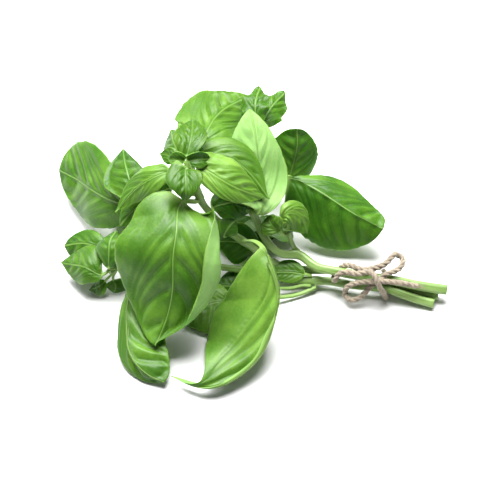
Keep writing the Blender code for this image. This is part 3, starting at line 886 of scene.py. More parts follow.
@dataclass(frozen=True)
class Leaf:
    """A leaf: stem and distance along it, midrib from blade base to tip, and which way it faces.

    A blade without a right half of its own has the left one on both sides. The margin waves up
    and down by ripple, in millimetres, and pale is how much lighter the skin is at the base,
    fading towards the tip: partly the paler skin of a young base, partly painted light, set leaf
    by leaf where the light falls brightest.
    """

    name: str
    grade: Grade
    stem: str
    along: float
    midrib: tuple[Point, ...]
    faces: tuple[Point, ...]
    width: float
    left: Side
    right: Side | None = None
    widest: float = 0.45
    stalk: tuple[Point, ...] = ()
    lead: tuple[float, ...] = ()
    sweep: float = 0.3
    ripple: float = 0.0
    ripples: float = 3.0
    age: Age = Age.GROWN
    pale: float = 0.0
    veins: Veins = Veins()

    def seed(self) -> int:
        """A number of the leaf's own, from its name."""
        return sum((index + 1) * ord(letter) for index, letter in enumerate(self.name))

    def root(self, stem: Stem) -> tuple[Array, Array]:
        """Where the stalk starts on the stem's skin, and a spot inside the stem that it grows from.

        Args:
            stem: The stem that bears the leaf.

        Returns:
            The start on the skin, and the inner spot, in millimetres.
        """
        line = stem.line()
        centre, tangent = line.read(np.array([self.along]))
        radius = stem.radius(np.array([self.along]), line.length())[0]
        towards = np.array((*self.stalk, *self.midrib)[0], float) - centre[0]
        outward = towards - towards @ tangent[0] * tangent[0]
        slant = math.acos(min(1.0, np.linalg.norm(outward) / np.linalg.norm(towards)))
        reach = radius * (1 + stem.squareness) + GAP + self.grade.stalk_radius * math.sin(slant)
        way = unit(outward)
        return centre[0] + way * reach, centre[0] + way * radius * BLADE.foot_depth

    def half_width(self, side: Side, along: Array) -> Array:
        """A sine whose peak sits at the widest place, raised to a power that shapes both ends.

        Args:
            side: The half of the blade.
            along: Shares of the blade's length.

        Returns:
            Half widths in millimetres.
        """
        skew = math.log(0.5) / math.log(self.widest)
        power = side.base * (1 - along) + side.tip * along
        return self.width / 2 * side.share * np.sin(math.pi * along**skew) ** power

    @staticmethod
    def section(side: Side, along: Array, out: Array) -> tuple[Array, Array, Array]:
        """Sideways and upward shape of one half, and its slope, from midrib to margin.

        The shape is the running sum of the cosine and the sine of the slope, over fine steps.

        Args:
            side: The half of the blade.
            along: Shares of the blade's length.
            out: Shares of the half width, one for each column.

        Returns:
            Sideways shape, upward shape and slope in radians, as rows by columns.
        """
        steps = BLADE.steps
        slope = side.slope(along[:, None], np.linspace(0.0, 1.0, steps + 1)[None])
        middle = (slope[:, 1:] + slope[:, :-1]) / 2
        start = np.zeros((len(along), 1))
        sideways, upwards = (
            np.concatenate([start, np.cumsum(part(middle), axis=1) / steps], axis=1)
            for part in (np.cos, np.sin)
        )
        low = np.minimum((out * steps).astype(int), steps - 1)
        share = (out * steps - low)[None]
        return tuple(
            table[:, low] * (1 - share) + table[:, low + 1] * share
            for table in (sideways, upwards, slope)
        )

    def frames(self, points: Array, tangents: Array, along: Array) -> tuple[Array, Array]:
        """Right-hand and upward directions of the blade at each place.

        The cross sections stand square to the tangent plus sweep times the lead, which is the
        way from base to tip unless the leaf has its own.

        Args:
            points: Places down the leaf.
            tangents: Unit directions there.
            along: Shares of the blade's length.

        Returns:
            Unit vectors to the right and up.
        """
        keys = unit(np.array(self.faces, float))
        face = between(along, np.linspace(0, 1, len(keys)), keys)
        chord = np.array(self.lead or points[-1] - points[np.argmax(along > 0) - 1], float)
        lead = unit(tangents + self.sweep * unit(chord))
        upward = unit(face - np.sum(face * lead, axis=1, keepdims=True) * lead)
        return np.cross(lead, upward), upward

    def relief(self, along: Array, across: Array, width: Array,
               length: float) -> tuple[Array, dict[str, Array]]:
        """How far the skin stands off the smooth blade, and the vein attributes that go with it.

        The blade sinks by a bell along the midrib and along each side vein, less so where veins
        crowd, and swells between them by soft noises. Young leaves pucker: the pucker is the
        size of a noise laid along the veins, so that it makes round bumps with sharp creases.

        Args:
            along: Shares of the blade's length, one for each row.
            across: From -1 at the left margin to 1 at the right, one for each column.
            width: Half widths in millimetres, as rows by columns.
            length: The blade's length in millimetres.

        Returns:
            Heights in millimetres, and attributes, as rows by columns.
        """
        cut, scale, youth = RELIEF, self.grade.relief, 1 - self.age.value
        down, out, rib = along[:, None], np.abs(across)[None], across[None] * width
        from_rib = np.abs(rib)
        noise, bumps, waves = (SoftNoise(self.seed() + extra) for extra in (0, 5, 9))
        sway = cut.vein_sway * noise.at(2.2 * across[None] + 9.0, 4.0 * down)
        start = self.veins.start(down, out) + sway * out
        phase = self.veins.phase(start) * (0.5 + 0.5 * scale)
        by_row = np.gradient(phase, axis=0) / np.maximum(np.gradient(along * length), 1e-3)[:, None]
        by_column = np.gradient(phase, axis=1)
        by_column /= np.maximum(np.abs(np.gradient(rib, axis=1)), 1e-3)
        pitch = 1 / np.maximum(np.hypot(by_row, by_column), 1e-3)
        from_vein = np.abs(phase - np.round(phase)) * pitch
        fade = smooth_step(start, -0.03, 0.01) * smooth_step(1 - out, 0.02, 0.25)
        fade = fade * smooth_step(1 - down, 0.0, 0.12) * smooth_step(from_rib, 0.4, 2.6 * scale)
        close = np.clip(pitch / (cut.vein_pitch * scale), 0.25, 1.3)
        wrinkle = noise.at(phase * 3.3 + 20, out * width / cut.wrinkle_size + 5)
        wrinkle = wrinkle * smooth_step(out, 0.02, 0.2)
        outward = out * width / (cut.pucker_size * scale + 0.4) + 11
        pucker = np.abs(bumps.at(1.4 * phase + 30 + 20 * (rib > 0), outward))
        pucker = pucker * smooth_step(from_rib, 0.3, 2.0)
        swell = waves.at(rib / cut.swell_size + 7, down * length / cut.swell_size + 3)
        height = scale * (
            (cut.wrinkle + cut.young_wrinkle * youth) * wrinkle
            + (cut.pucker + cut.young_pucker * youth**2) * pucker
            + cut.swell * swell
            - cut.rib_depth * bell(rib, cut.rib_reach * scale) * (1 - 0.6 * down)
            - (cut.vein_depth + cut.young_vein_depth * youth)
            * bell(from_vein, cut.vein_reach * scale) * fade * close
        )
        calm = smooth_step(down, 0.0, 0.06) * smooth_step(1 - down, 0.0, 0.08)
        return height * calm, {
            "rib": rib,
            "phase": np.maximum(phase, 0.0),
            "pitch": pitch,
            "fade": fade,
            "edge": smooth_step(out, 0.965, 1.0) * smooth_step(down, 0.02, 0.1),
        }

    def surface(self, stem: Stem) -> tuple[Array, dict[str, Array]]:
        """Closed rings round the stalk and blade: over the top, then back underneath.

        The stalk's round section thins into the blade's flat one by an exponential fall, and a
        ridge runs along the midrib's underside. The first ring stands inside the stem.

        Args:
            stem: The stem that bears the leaf.

        Returns:
            Rings of points, and the skin's attributes.
        """
        root, inner = self.root(stem)
        line = SmoothLine((tuple(root), *self.stalk, *self.midrib))
        dense, lengths = line.dense()
        start = lengths[np.argmin(np.linalg.norm(dense - np.array(self.midrib[0], float), axis=1))]
        length = lengths[-1] - start
        share = np.linspace(0, 1, self.grade.rows + 1)
        share = share - BLADE.row_crowding * np.sin(math.tau * share) / math.tau
        stalk_rows = max(4, round(start / BLADE.stalk_step))
        stalk_at = np.linspace(0.0, start, stalk_rows, endpoint=False)
        at = np.concatenate([stalk_at, start + length * share])
        points, tangents = line.read(at)
        along = np.clip((at - start) / length, 0, 1)
        down, blade = along[:, None], (along > 0)[:, None]
        rightward, upward = self.frames(points, tangents, along)
        columns = self.grade.columns
        even = np.linspace(-1, 1, 2 * columns + 1)
        across = np.sign(even) * np.abs(even) ** BLADE.column_power
        middle = np.zeros((len(at), len(across), 3))
        normal = np.zeros_like(middle)
        spans = np.zeros(middle.shape[:2])
        slim = np.clip(1 - BLADE.stalk_slimming * along, BLADE.slimmest, 1)
        slim = self.grade.stalk_radius * slim
        teeth = SoftNoise(self.seed() + 2)
        for side, sign, chosen in (
            (self.left, -1, slice(0, columns + 1)),
            (self.right or self.left, 1, slice(columns, None)),
        ):
            shape = self.section(side, along, np.abs(across[chosen]))
            sideways, upwards, slope = (part[..., None] for part in shape)
            notch = teeth.at(BLADE.nicks * along, np.full_like(along, 3.0 + 4 * sign))
            width = self.half_width(side, along) * (1 + BLADE.nick * notch)
            width = np.maximum(width, slim)[:, None]
            middle[:, chosen] = points[:, None] + width[..., None] * (
                sign * sideways * rightward[:, None] + upwards * upward[:, None]
            )
            normal[:, chosen] = (
                upward[:, None] * np.cos(slope) - sign * rightward[:, None] * np.sin(slope)
            )
            spans[:, chosen] = width
        normal[:, columns] = upward
        height, attributes = self.relief(along, across, spans, length)
        wave = np.sin(math.tau * self.ripples * down + 1.7 * (across < 0)[None])
        height = height + self.ripple * np.clip(4 * down, 0, 1) * across[None] ** 2 * wave
        middle = middle + normal * (height * blade)[..., None]
        half = BLADE.thickness / 2
        thin = half + (self.grade.stalk_radius * 0.95 - half) * np.exp(-down / BLADE.stalk_blend)
        above = thin * np.sqrt(np.clip(1 - np.abs(across)[None] ** (2 + 9 * down), 0, 1))
        ridge = BLADE.ridge * (1 - 0.75 * down) * bell(attributes["rib"], BLADE.ridge_reach) * blade
        top = middle + normal * above[..., None]
        underside = middle - normal * (above + ridge * self.grade.relief)[..., None]
        skin = np.concatenate([top, underside[:, -2:0:-1]], axis=1)
        foot = inner + (skin[:1] - points[0]) * BLADE.foot_size
        every = np.ones(spans.shape)
        attributes["stalk"] = every * smooth_step(-down, -0.05, 0.0)
        attributes["age"] = every * self.age.value
        # Paleness fades from base to tip: partly the leaf's own tone, partly painted light.
        attributes["pale"] = every * self.pale * np.clip(1.3 - 1.1 * down, 0, 1)
        count, rows = len(across), np.concatenate([[0], np.arange(len(at))])
        turn = np.concatenate([np.arange(count), np.arange(count - 2, 0, -1)])
        values = {key: value[rows][:, turn] for key, value in attributes.items()}
        values["under"] = np.ones((len(rows), 1)) * (np.arange(len(turn)) >= count)
        return np.concatenate([foot, skin]), values


# Name, centreline from the thick end, thickness at both ends, nodes, and the stem it joins.
STEMS = (
    Stem("stem_upper", ((89.5, -8.6, 6.5), (77.5, -7.3, 7.8), (63.5, -5.1, 9.6), (46, -3.4, 11.2),
         (36.5, -2, 12.5), (28.5, 1.2, 12.2), (20.5, 7.4, 12.8), (14.5, 6.5, 14), (9.5, 7, 17.5),
         (5.5, 9.5, 22), (2.5, 13, 28), (-0.5, 15.5, 35)), 5.0, 3.5, (74, 106)),
    Stem("stem_front", ((83.5, -13.5, 2.4), (72.5, -10.6, 3.8), (62.5, -7.1, 5.1),
         (46, -4.4, 4.9), (36, -1.9, 4.3), (28, -1.4, 4.4), (19.5, -0.8, 4.4), (9, 0, 6.5),
         (-6, 0.6, 10), (-22, 0.5, 13), (-38.5, 0, 16), (-52, 2, 16.5), (-61, 0, 14),
         (-66.5, -3.5, 12.5)), 4.4, 2.6, (56, 90, 150)),
    Stem("stem_middle", ((86, -8.8, 2.4), (74, -5.5, 3.8), (62, -2, 5.3), (46, 2.4, 5.2),
         (36, 4.2, 5), (29, 4, 5.4), (22, 4.6, 5.4), (15.5, 4.9, 6.6), (9, 5.2, 10.6),
         (1, 5.5, 18.5), (-6, 6, 25.5), (-12.5, 6, 33), (-18, 6.5, 41), (-22.5, 8.5, 47),
         (-25.5, 11, 54.5), (-29, 18, 61)), 4.4, 3.0, (100, 132, 143)),
    Stem("shoot_left", ((-31.5, 0.5, 14.5), (-37.5, 3.5, 19), (-44, 9, 23), (-49.5, 12.5, 27),
         (-53, 17.5, 31)), 2.8, 2.2, (30,), "stem_front"),
    Stem("shoot_back", ((-0.5, 15.5, 33), (1.5, 26, 36.5), (4, 41, 38), (6, 50, 42)), 3.2, 2.4,
         (12, 38), "stem_upper"),
    Stem("shoot_right", ((20.5, 9, 12), (18, 10, 18), (16, 10, 26)), 2.6, 2.0, (15,), "stem_upper"),
)

# Name, grade, stem and distance along it, midrib, which way it faces from base to tip, width,
# left half, right half if it differs, and widest place.
# A leaf's pale, where given, is partly a paler base and partly painted light.
LEAVES = (
    Leaf("leaf_front_domed", LARGE, "stem_middle", 132, ((-31, 6, 51), (-33.5, -9, 51),
         (-35, -19.5, 46), (-35.5, -27.5, 34.5), (-38.5, -36, 21), (-43.5, -44.5, 12)),
         ((0, -0.3, 0.9), (-0.1, -0.55, 0.8), (-0.2, -0.8, 0.6)), 58,
         Side(-6, -22, 190, 0.56, 1.06, 0.4, 1.5), Side(-6, -20, base=0.44, tip=0.6), 0.44,
         ripple=0.6, pale=0.14, veins=Veins(0.85, 1.15, 5.6, 0.7)),
    Leaf("leaf_front_long", LARGE, "stem_middle", 100, ((4, -8.5, 37), (9, -19, 35),
         (11.5, -29.5, 28), (8.5, -40.5, 20), (3.5, -50, 13), (-4.5, -57.5, 9), (-18.5, -63.5, 6),
         (-36, -55.5, 4)), ((-0.35, -0.5, 0.8), (-0.4, -0.5, 0.75), (-0.3, -0.6, 0.7),
         (-0.1, -0.7, 0.7), (0, -0.8, 0.6)), 64, Side(-120, -30, share=0.4, base=2.6, tip=0.7),
         Side(0, -12, base=1.0, tip=2.2), 0.36, lead=(0.12, -0.75, -0.5), sweep=1, pale=0.45,
         veins=Veins(0.86, 0.95, 4.6, 0.8)),
    Leaf("leaf_front_left", LARGE, "stem_front", 134, ((-54, -13, 17.5), (-57, -24.5, 15.5),
         (-57, -35.5, 12), (-56, -44.5, 10), (-50.5, -53, 7.5), (-44.5, -57, 5.5),
         (-39, -58.5, 4)), ((0.05, -0.4, 0.9),), 38, Side(0, -10, share=0.92, base=0.65, tip=0.5),
         Side(-55, -10, share=0.43, base=0.65, tip=0.6), 0.55, sweep=0.8, pale=0.24,
         veins=Veins(0.7, 1.1, 4.2, 0.8)),
    Leaf("leaf_far_left", LARGE, "shoot_left", 29, ((-55, 20, 28), (-63, 25.5, 28),
         (-76, 36.5, 25), (-85, 48, 20), (-95, 60.5, 14)), ((-0.55, -0.6, 0.6),
         (-0.5, -0.5, 0.7)), 42, Side(-2, -18, share=0.86, base=0.55, tip=0.5),
         Side(-2, -20, base=0.55, tip=0.4), 0.55, lead=(-0.85, 0.1, -0.5), sweep=1, pale=0.15),
    Leaf("leaf_left_folded", SMALL, "shoot_left", 31, ((-54.5, 20, 37), (-56.5, 26.5, 42),
         (-59, 36, 43), (-61, 48.5, 41)), ((0, -0.35, 0.9),), 27,
         Side(-25, -15, 70, 0.7, base=0.7, tip=0.8), Side(-35, -15, base=0.7, tip=0.8),
         age=Age.GROWING),
    Leaf("leaf_crown_left", MIDDLE, "stem_middle", 141, ((-37, 16.5, 59), (-45, 14.5, 58),
         (-54, 14, 50), (-62.5, 10.5, 39)), ((-0.2, -0.4, 0.85),), 24,
         Side(-8, -25, share=0.6, tip=0.9), Side(-10, -25, share=0.72, tip=0.9), 0.4, pale=0.3),
    Leaf("leaf_crown_left_lower", SMALL, "stem_middle", 134, ((-36.5, 15.5, 50), (-45.5, 14, 46),
         (-54.5, 12.5, 38), (-61, 9, 31)), ((-0.2, -0.5, 0.8),), 24,
         Side(-8, -30, base=0.7, tip=0.9), Side(-10, -30, base=0.7, tip=0.9)),
    Leaf("leaf_side_shoot_back", SMALL, "stem_front", 153, ((-68, 5, 16), (-74, 9.5, 17),
         (-81, 13, 14.5), (-89, 15.5, 9.5)), ((-0.3, -0.5, 0.8),), 24,
         Side(-8, -25, base=0.7, tip=0.6), Side(-8, -25, share=0.62, base=0.7, tip=0.6), 0.5),
    Leaf("leaf_side_shoot_front", SMALL, "stem_front", 154, ((-69, -5.5, 14), (-75, -4, 16),
         (-82, 1, 13), (-90, 6.5, 8)), ((-0.2, -0.5, 0.8),), 23,
         Side(-8, -25, share=0.8, base=0.7, tip=1.0), Side(-8, -30, base=0.7, tip=0.9),
         age=Age.GROWING),
    Leaf("leaf_side_shoot_upright", SMALL, "stem_front", 152, ((-66, -5, 18), (-66, -2, 24),
         (-65.5, 3, 27), (-63, 10.5, 26)), ((-0.3, -0.4, 0.8),), 20,
         Side(-8, -40, base=0.7, tip=0.8), Side(-8, -30, base=0.7, tip=0.8), 0.5, age=Age.OLD),
    Leaf("leaf_side_shoot_bud", TINY, "stem_front", 153, ((-68.5, -4, 7.5), (-70.5, -5.5, 6.5),
         (-73.5, -5.5, 4), (-76.5, -5, 1.8)), ((-0.1, -0.4, 0.9),), 9,
         Side(-8, -30, base=0.7, tip=0.9), age=Age.OLD),
    Leaf("leaf_side_shoot_low", TINY, "stem_front", 152, ((-65, -3, 7), (-64, -4.5, 5),
         (-65, -6.5, 1.5)), ((0.2, -0.6, 0.8),), 14, Side(-8, -30, base=0.7, tip=0.7), widest=0.5,
         age=Age.OLD),
    Leaf("leaf_tip_back", SMALL, "stem_middle", 143.5, ((-29.5, 23, 62), (-28.5, 27.5, 65),
         (-27.5, 35.5, 66), (-27.5, 45.5, 64)), ((-0.05, -0.6, 0.8),), 17,
         Side(14, -35, base=0.65, tip=0.95), Side(14, -35, share=0.84, base=0.65, tip=0.95),
         age=Age.YOUNG),
    Leaf("leaf_tip_front", SMALL, "stem_middle", 144, ((-29.5, 14, 64), (-29.5, 6.5, 64),
         (-29.5, 2, 61), (-30, 0.5, 56)), ((0, -0.55, 0.85),), 18,
         Side(12, -35, share=0.85, base=0.35, tip=1.3), Side(12, -35, base=0.35, tip=1.3), 0.3,
         age=Age.YOUNG),
    Leaf("leaf_tip_bud_left", TINY, "stem_middle", 146, ((-30.4, 17.2, 65), (-33.5, 17.5, 66),
         (-37.5, 19, 64.5)), ((-0.1, -0.7, 0.8),), 7.5,
         Side(14, 35, share=0.85, base=0.3, tip=0.9), Side(12, -10, base=0.3, tip=0.9),
         age=Age.YOUNG),
    Leaf("leaf_tip_bud_right", TINY, "stem_middle", 146, ((-28.6, 17.2, 65), (-24, 17.8, 66),
         (-19, 20.5, 63.5)), ((0.1, -0.7, 0.8),), 8, Side(12, 35, base=0.3, tip=0.9),
         Side(12, -10, base=0.3, tip=0.9), age=Age.YOUNG),
    Leaf("leaf_tip_side", TINY, "stem_middle", 142.5, ((-33, 21, 61.5), (-37.5, 24, 62),
         (-42, 27, 60)), ((-0.2, -0.6, 0.8),), 8, Side(5, -20, base=0.7, tip=0.9), age=Age.YOUNG),
    Leaf("leaf_crown_right", MIDDLE, "stem_middle", 141, ((-24.6, 16.2, 61.2), (-14, 11.5, 60),
         (-4, 10, 54), (5.5, 12, 47)), ((0.1, -0.5, 0.85),), 27,
         Side(-4, -30, share=0.9, base=0.4, tip=1.15),
         Side(-6, -25, share=0.55, base=0.34, tip=1.0), 0.4, age=Age.GROWING, pale=0.7),
    Leaf("leaf_crown_right_back", MIDDLE, "stem_middle", 137, ((-26, 26.5, 55.5), (-16, 29, 57.5),
         (-4, 25, 53.5), (7.5, 14.5, 43.5)), ((0.15, -0.45, 0.85),), 31,
         Side(-8, -30, share=0.7, base=0.3, tip=1.35), Side(-8, -55, share=0.9, tip=0.95), 0.4,
         age=Age.GROWING, pale=0.12),
    Leaf("leaf_crown_back", LARGE, "stem_middle", 131, ((-26, 37, 54), (-22, 42, 58),
         (-18.5, 51, 58), (-11.5, 63, 55), (-2, 77, 48)), ((-0.05, -0.45, 0.9),), 40,
         Side(-6, -20, share=0.88, base=0.35, tip=0.45),
         Side(-6, -32, share=0.7, base=0.55, tip=0.8), 0.36, age=Age.GROWING, pale=0.3),
    Leaf("leaf_crown_back_left", SMALL, "stem_middle", 128, ((-32, 34.5, 48), (-36, 44, 47),
         (-39, 60, 42)), ((-0.4, -0.3, 0.8),), 16, Side(-6, -28, base=0.7, tip=0.7),
         Side(-6, -32, base=0.7, tip=0.7), 0.5, age=Age.GROWING),
    Leaf("leaf_turned_over", LARGE, "stem_upper", 107, ((2, 12.5, 36.5), (4, 22, 40),
         (2.5, 33.5, 47.5), (1, 43, 56), (-1.5, 54.5, 61)), ((-0.1, 0.75, -0.6),), 36,
         Side(-6, -15, share=0.7, base=0.9, tip=0.8), Side(-6, -5, share=0.9, base=0.5, tip=0.7),
         0.38, age=Age.GROWING),
    Leaf("leaf_back_crinkled_right", SMALL, "shoot_back", 36, ((4, 58, 44), (7, 68, 46),
         (15.5, 81.5, 46)), ((0, -0.6, 0.8),), 16, Side(-8, -40, base=0.7, tip=0.7),
         Side(-8, -20, base=0.7, tip=0.7), 0.5, ripple=1.0, age=Age.GROWING),
    Leaf("leaf_back_crinkled_left", SMALL, "shoot_back", 36, ((2.5, 54.5, 49), (1, 61, 55),
         (3.5, 75.5, 55)), ((-0.1, -0.6, 0.8),), 14, Side(-8, -20, base=0.7, tip=0.7), widest=0.5,
         ripple=1.0, age=Age.GROWING),
    Leaf("leaf_back_upright", MIDDLE, "shoot_back", 14.5, ((15, 46, 14), (19, 52, 24),
         (21, 54.5, 35), (21, 60, 43)), ((0, -0.9, 0.45),), 29, Side(-4, -18, base=0.5, tip=0.42),
         Side(-4, -22, share=0.8, base=0.55, tip=0.5), 0.52, pale=0.3),
    Leaf("leaf_far_right", LARGE, "shoot_back", 7, ((16.5, 40.5, 30), (26.5, 35.5, 30),
         (37, 28.5, 28), (47.5, 22.4, 24.4), (61, 17.6, 19.4)), ((-0.25, -0.65, 0.7),
         (-0.3, -0.75, 0.6)), 47, Side(-48, -15, share=0.62, base=1.35, tip=0.3),
         Side(-4, -20, share=1.05, base=0.27, tip=0.45), 0.5, age=Age.OLD),
    Leaf("leaf_axil_right", SMALL, "shoot_right", 14, ((13, 10.5, 31), (15, 12, 36),
         (19, 13.5, 35), (25, 10, 25)), ((0.3, -0.6, 0.7),), 18,
         Side(-6, -30, share=0.7, tip=0.9), Side(-6, -25, tip=0.9), sweep=1, age=Age.YOUNG,
         pale=0.6),
    Leaf("leaf_axil_left", SMALL, "shoot_right", 14, ((12, 8.5, 28), (9, 9.5, 31), (7, 13.5, 33)),
         ((-0.3, -0.7, 0.6),), 12, Side(20, -20, base=0.7, tip=0.8),
         Side(20, -30, base=0.7, tip=0.8), 0.5, age=Age.YOUNG, pale=0.3),
    Leaf("leaf_low_front", MIDDLE, "stem_front", 56, ((-10, -15, 7), (-18, -17, 8), (-25, -20, 7),
         (-33, -25, 3)), ((-0.1, -0.3, 1),), 32, Side(-5, -15, tip=0.8), stalk=((26.5, -5.6, 2.6),
         (20, -8.2, 2.1), (13.3, -10.2, 3), (4, -12, 4.5)), age=Age.GROWING, pale=0.5),
    Leaf("leaf_low_centre", SMALL, "stem_front", 58, ((-4, -7, 5), (-10, -6, 6), (-17, -5, 5)),
         ((0, -0.5, 0.9),), 17, Side(-5, -20, base=0.7, tip=0.8), stalk=((24, -4.1, 4.2),
         (18, -4.9, 3.2), (12.8, -5.4, 3.6), (4, -6.8, 4))),
    Leaf("leaf_low_right", SMALL, "stem_front", 58, ((24, -0.7, 8.3), (19, 0.1, 8.8),
         (14, 0.1, 9.1), (8.5, -0.8, 9.7)), ((0, -0.5, 0.85),), 13,
         Side(-5, -15, share=0.85, base=0.6, tip=0.6), Side(-5, -20, base=0.6, tip=0.6), pale=0.2),
    Leaf("leaf_inner_back", SMALL, "stem_middle", 119, ((-18.5, 14.5, 37), (-10, 18.5, 36.5),
         (0.5, 20.5, 29)), ((0, -0.6, 0.8),), 17, Side(-5, -20, base=0.7, tip=0.8), age=Age.OLD),
    Leaf("leaf_inner_front", SMALL, "stem_middle", 110, ((-13, 0.5, 34), (-11.5, 1.5, 38),
         (-7.5, 5, 40)), ((0.2, -0.6, 0.8),), 11, Side(-5, -20, base=0.7, tip=0.8), age=Age.OLD),
    Leaf("leaf_inner_low", SMALL, "stem_front", 91, ((1.5, 9.5, 13), (-7, 10.5, 18),
         (-17, 11, 18)), ((0, -0.5, 0.9),), 21, Side(-5, -20, base=0.7, tip=0.8), age=Age.OLD),
    Leaf("leaf_under_right", MIDDLE, "stem_upper", 92, ((5.5, 18.5, 14), (7.5, 26, 9.5),
         (9, 34, 5.5), (10, 42, 2)), ((0.1, -0.2, 1),), 25, Side(-5, -15, tip=0.8)),
    Leaf("leaf_under_left", MIDDLE, "shoot_left", 25, ((-50, 24, 22), (-54, 38, 13), (-58, 52, 4),
         (-60, 62, 1.2)), ((-0.1, 0.3, 1),), 26, Side(-5, -15, tip=0.8)),
    Leaf("leaf_under_front", MIDDLE, "stem_front", 125, ((-44, 8, 11), (-49, 16, 6), (-54, 24, 3),
         (-60, 31, 1)), ((-0.1, 0.2, 1),), 24, Side(-5, -10, tip=0.8)),
    Leaf("leaf_under_centre", MIDDLE, "stem_middle", 79, ((1, 14, 7), (-3, 23, 6), (-7, 34, 4),
         (-10, 43, 1.6)), ((0, 0.1, 1),), 30, Side(-5, -8, tip=0.7), age=Age.OLD),
    Leaf("leaf_under_back", MIDDLE, "shoot_back", 28, ((-2, 50, 30), (-6, 60, 20), (-8, 70, 11),
         (-9, 77, 4)), ((0, 0.3, 1),), 24, Side(-5, -15, tip=0.8)),
)

# From the loose end through both loops of the bow and the turns round the stems; the last
# points run underneath.
TWINE_ROUTE = (
    (76, -10.5, 11.5), (71, -10.2, 12.5), (66.5, -10, 13.5), (62, -9.8, 14), (56, -10, 14.7),
    (50, -9.4, 13.2), (45.5, -9, 11.2), (43, -9.5, 9), (42.5, -10.3, 6), (44, -12.3, 4.5),
    (46.5, -12.8, 4.5), (50, -12, 6), (52.5, -10.6, 9), (55, -9.3, 11.2), (58, -7.6, 12.8),
    (61, -5.8, 14.2), (66, -3.4, 14.3), (69, 0, 14.7), (69, 3.5, 15), (66, 4.7, 16),
    (63.5, 2.2, 16), (60, -1, 15.3), (56.5, -2.4, 14.9), (53.5, -3.2, 14.8), (49.5, -3.3, 15.1),
    (46.2, -1.5, 15), (43.6, 0.4, 13.6), (41.4, 1.3, 11.3), (39.4, 0.5, 9.1), (38.0, -1.6, 8.3),
    (37.6, -4.3, 8.7), (37.9, -6.2, 10.8), (39, -5.9, 14.0), (42, -5.5, 15.6), (45.5, -6.1, 15.6),
    (49, -6.8, 16.3), (52.5, -6.9, 17.6), (55, -9, 18.2), (56.5, -12, 16.9), (58, -13.1, 13.2),
    (59.3, -12.3, 10.2), (60.3, -11.2, 7.4), (61, -10.6, 4.5), (61.5, -8.8, 1.75), (61.5, -5, 1.6),
    (61.5, -0.5, 1.7), (61.3, 2.6, 3.8), (61, 2.8, 7),
)


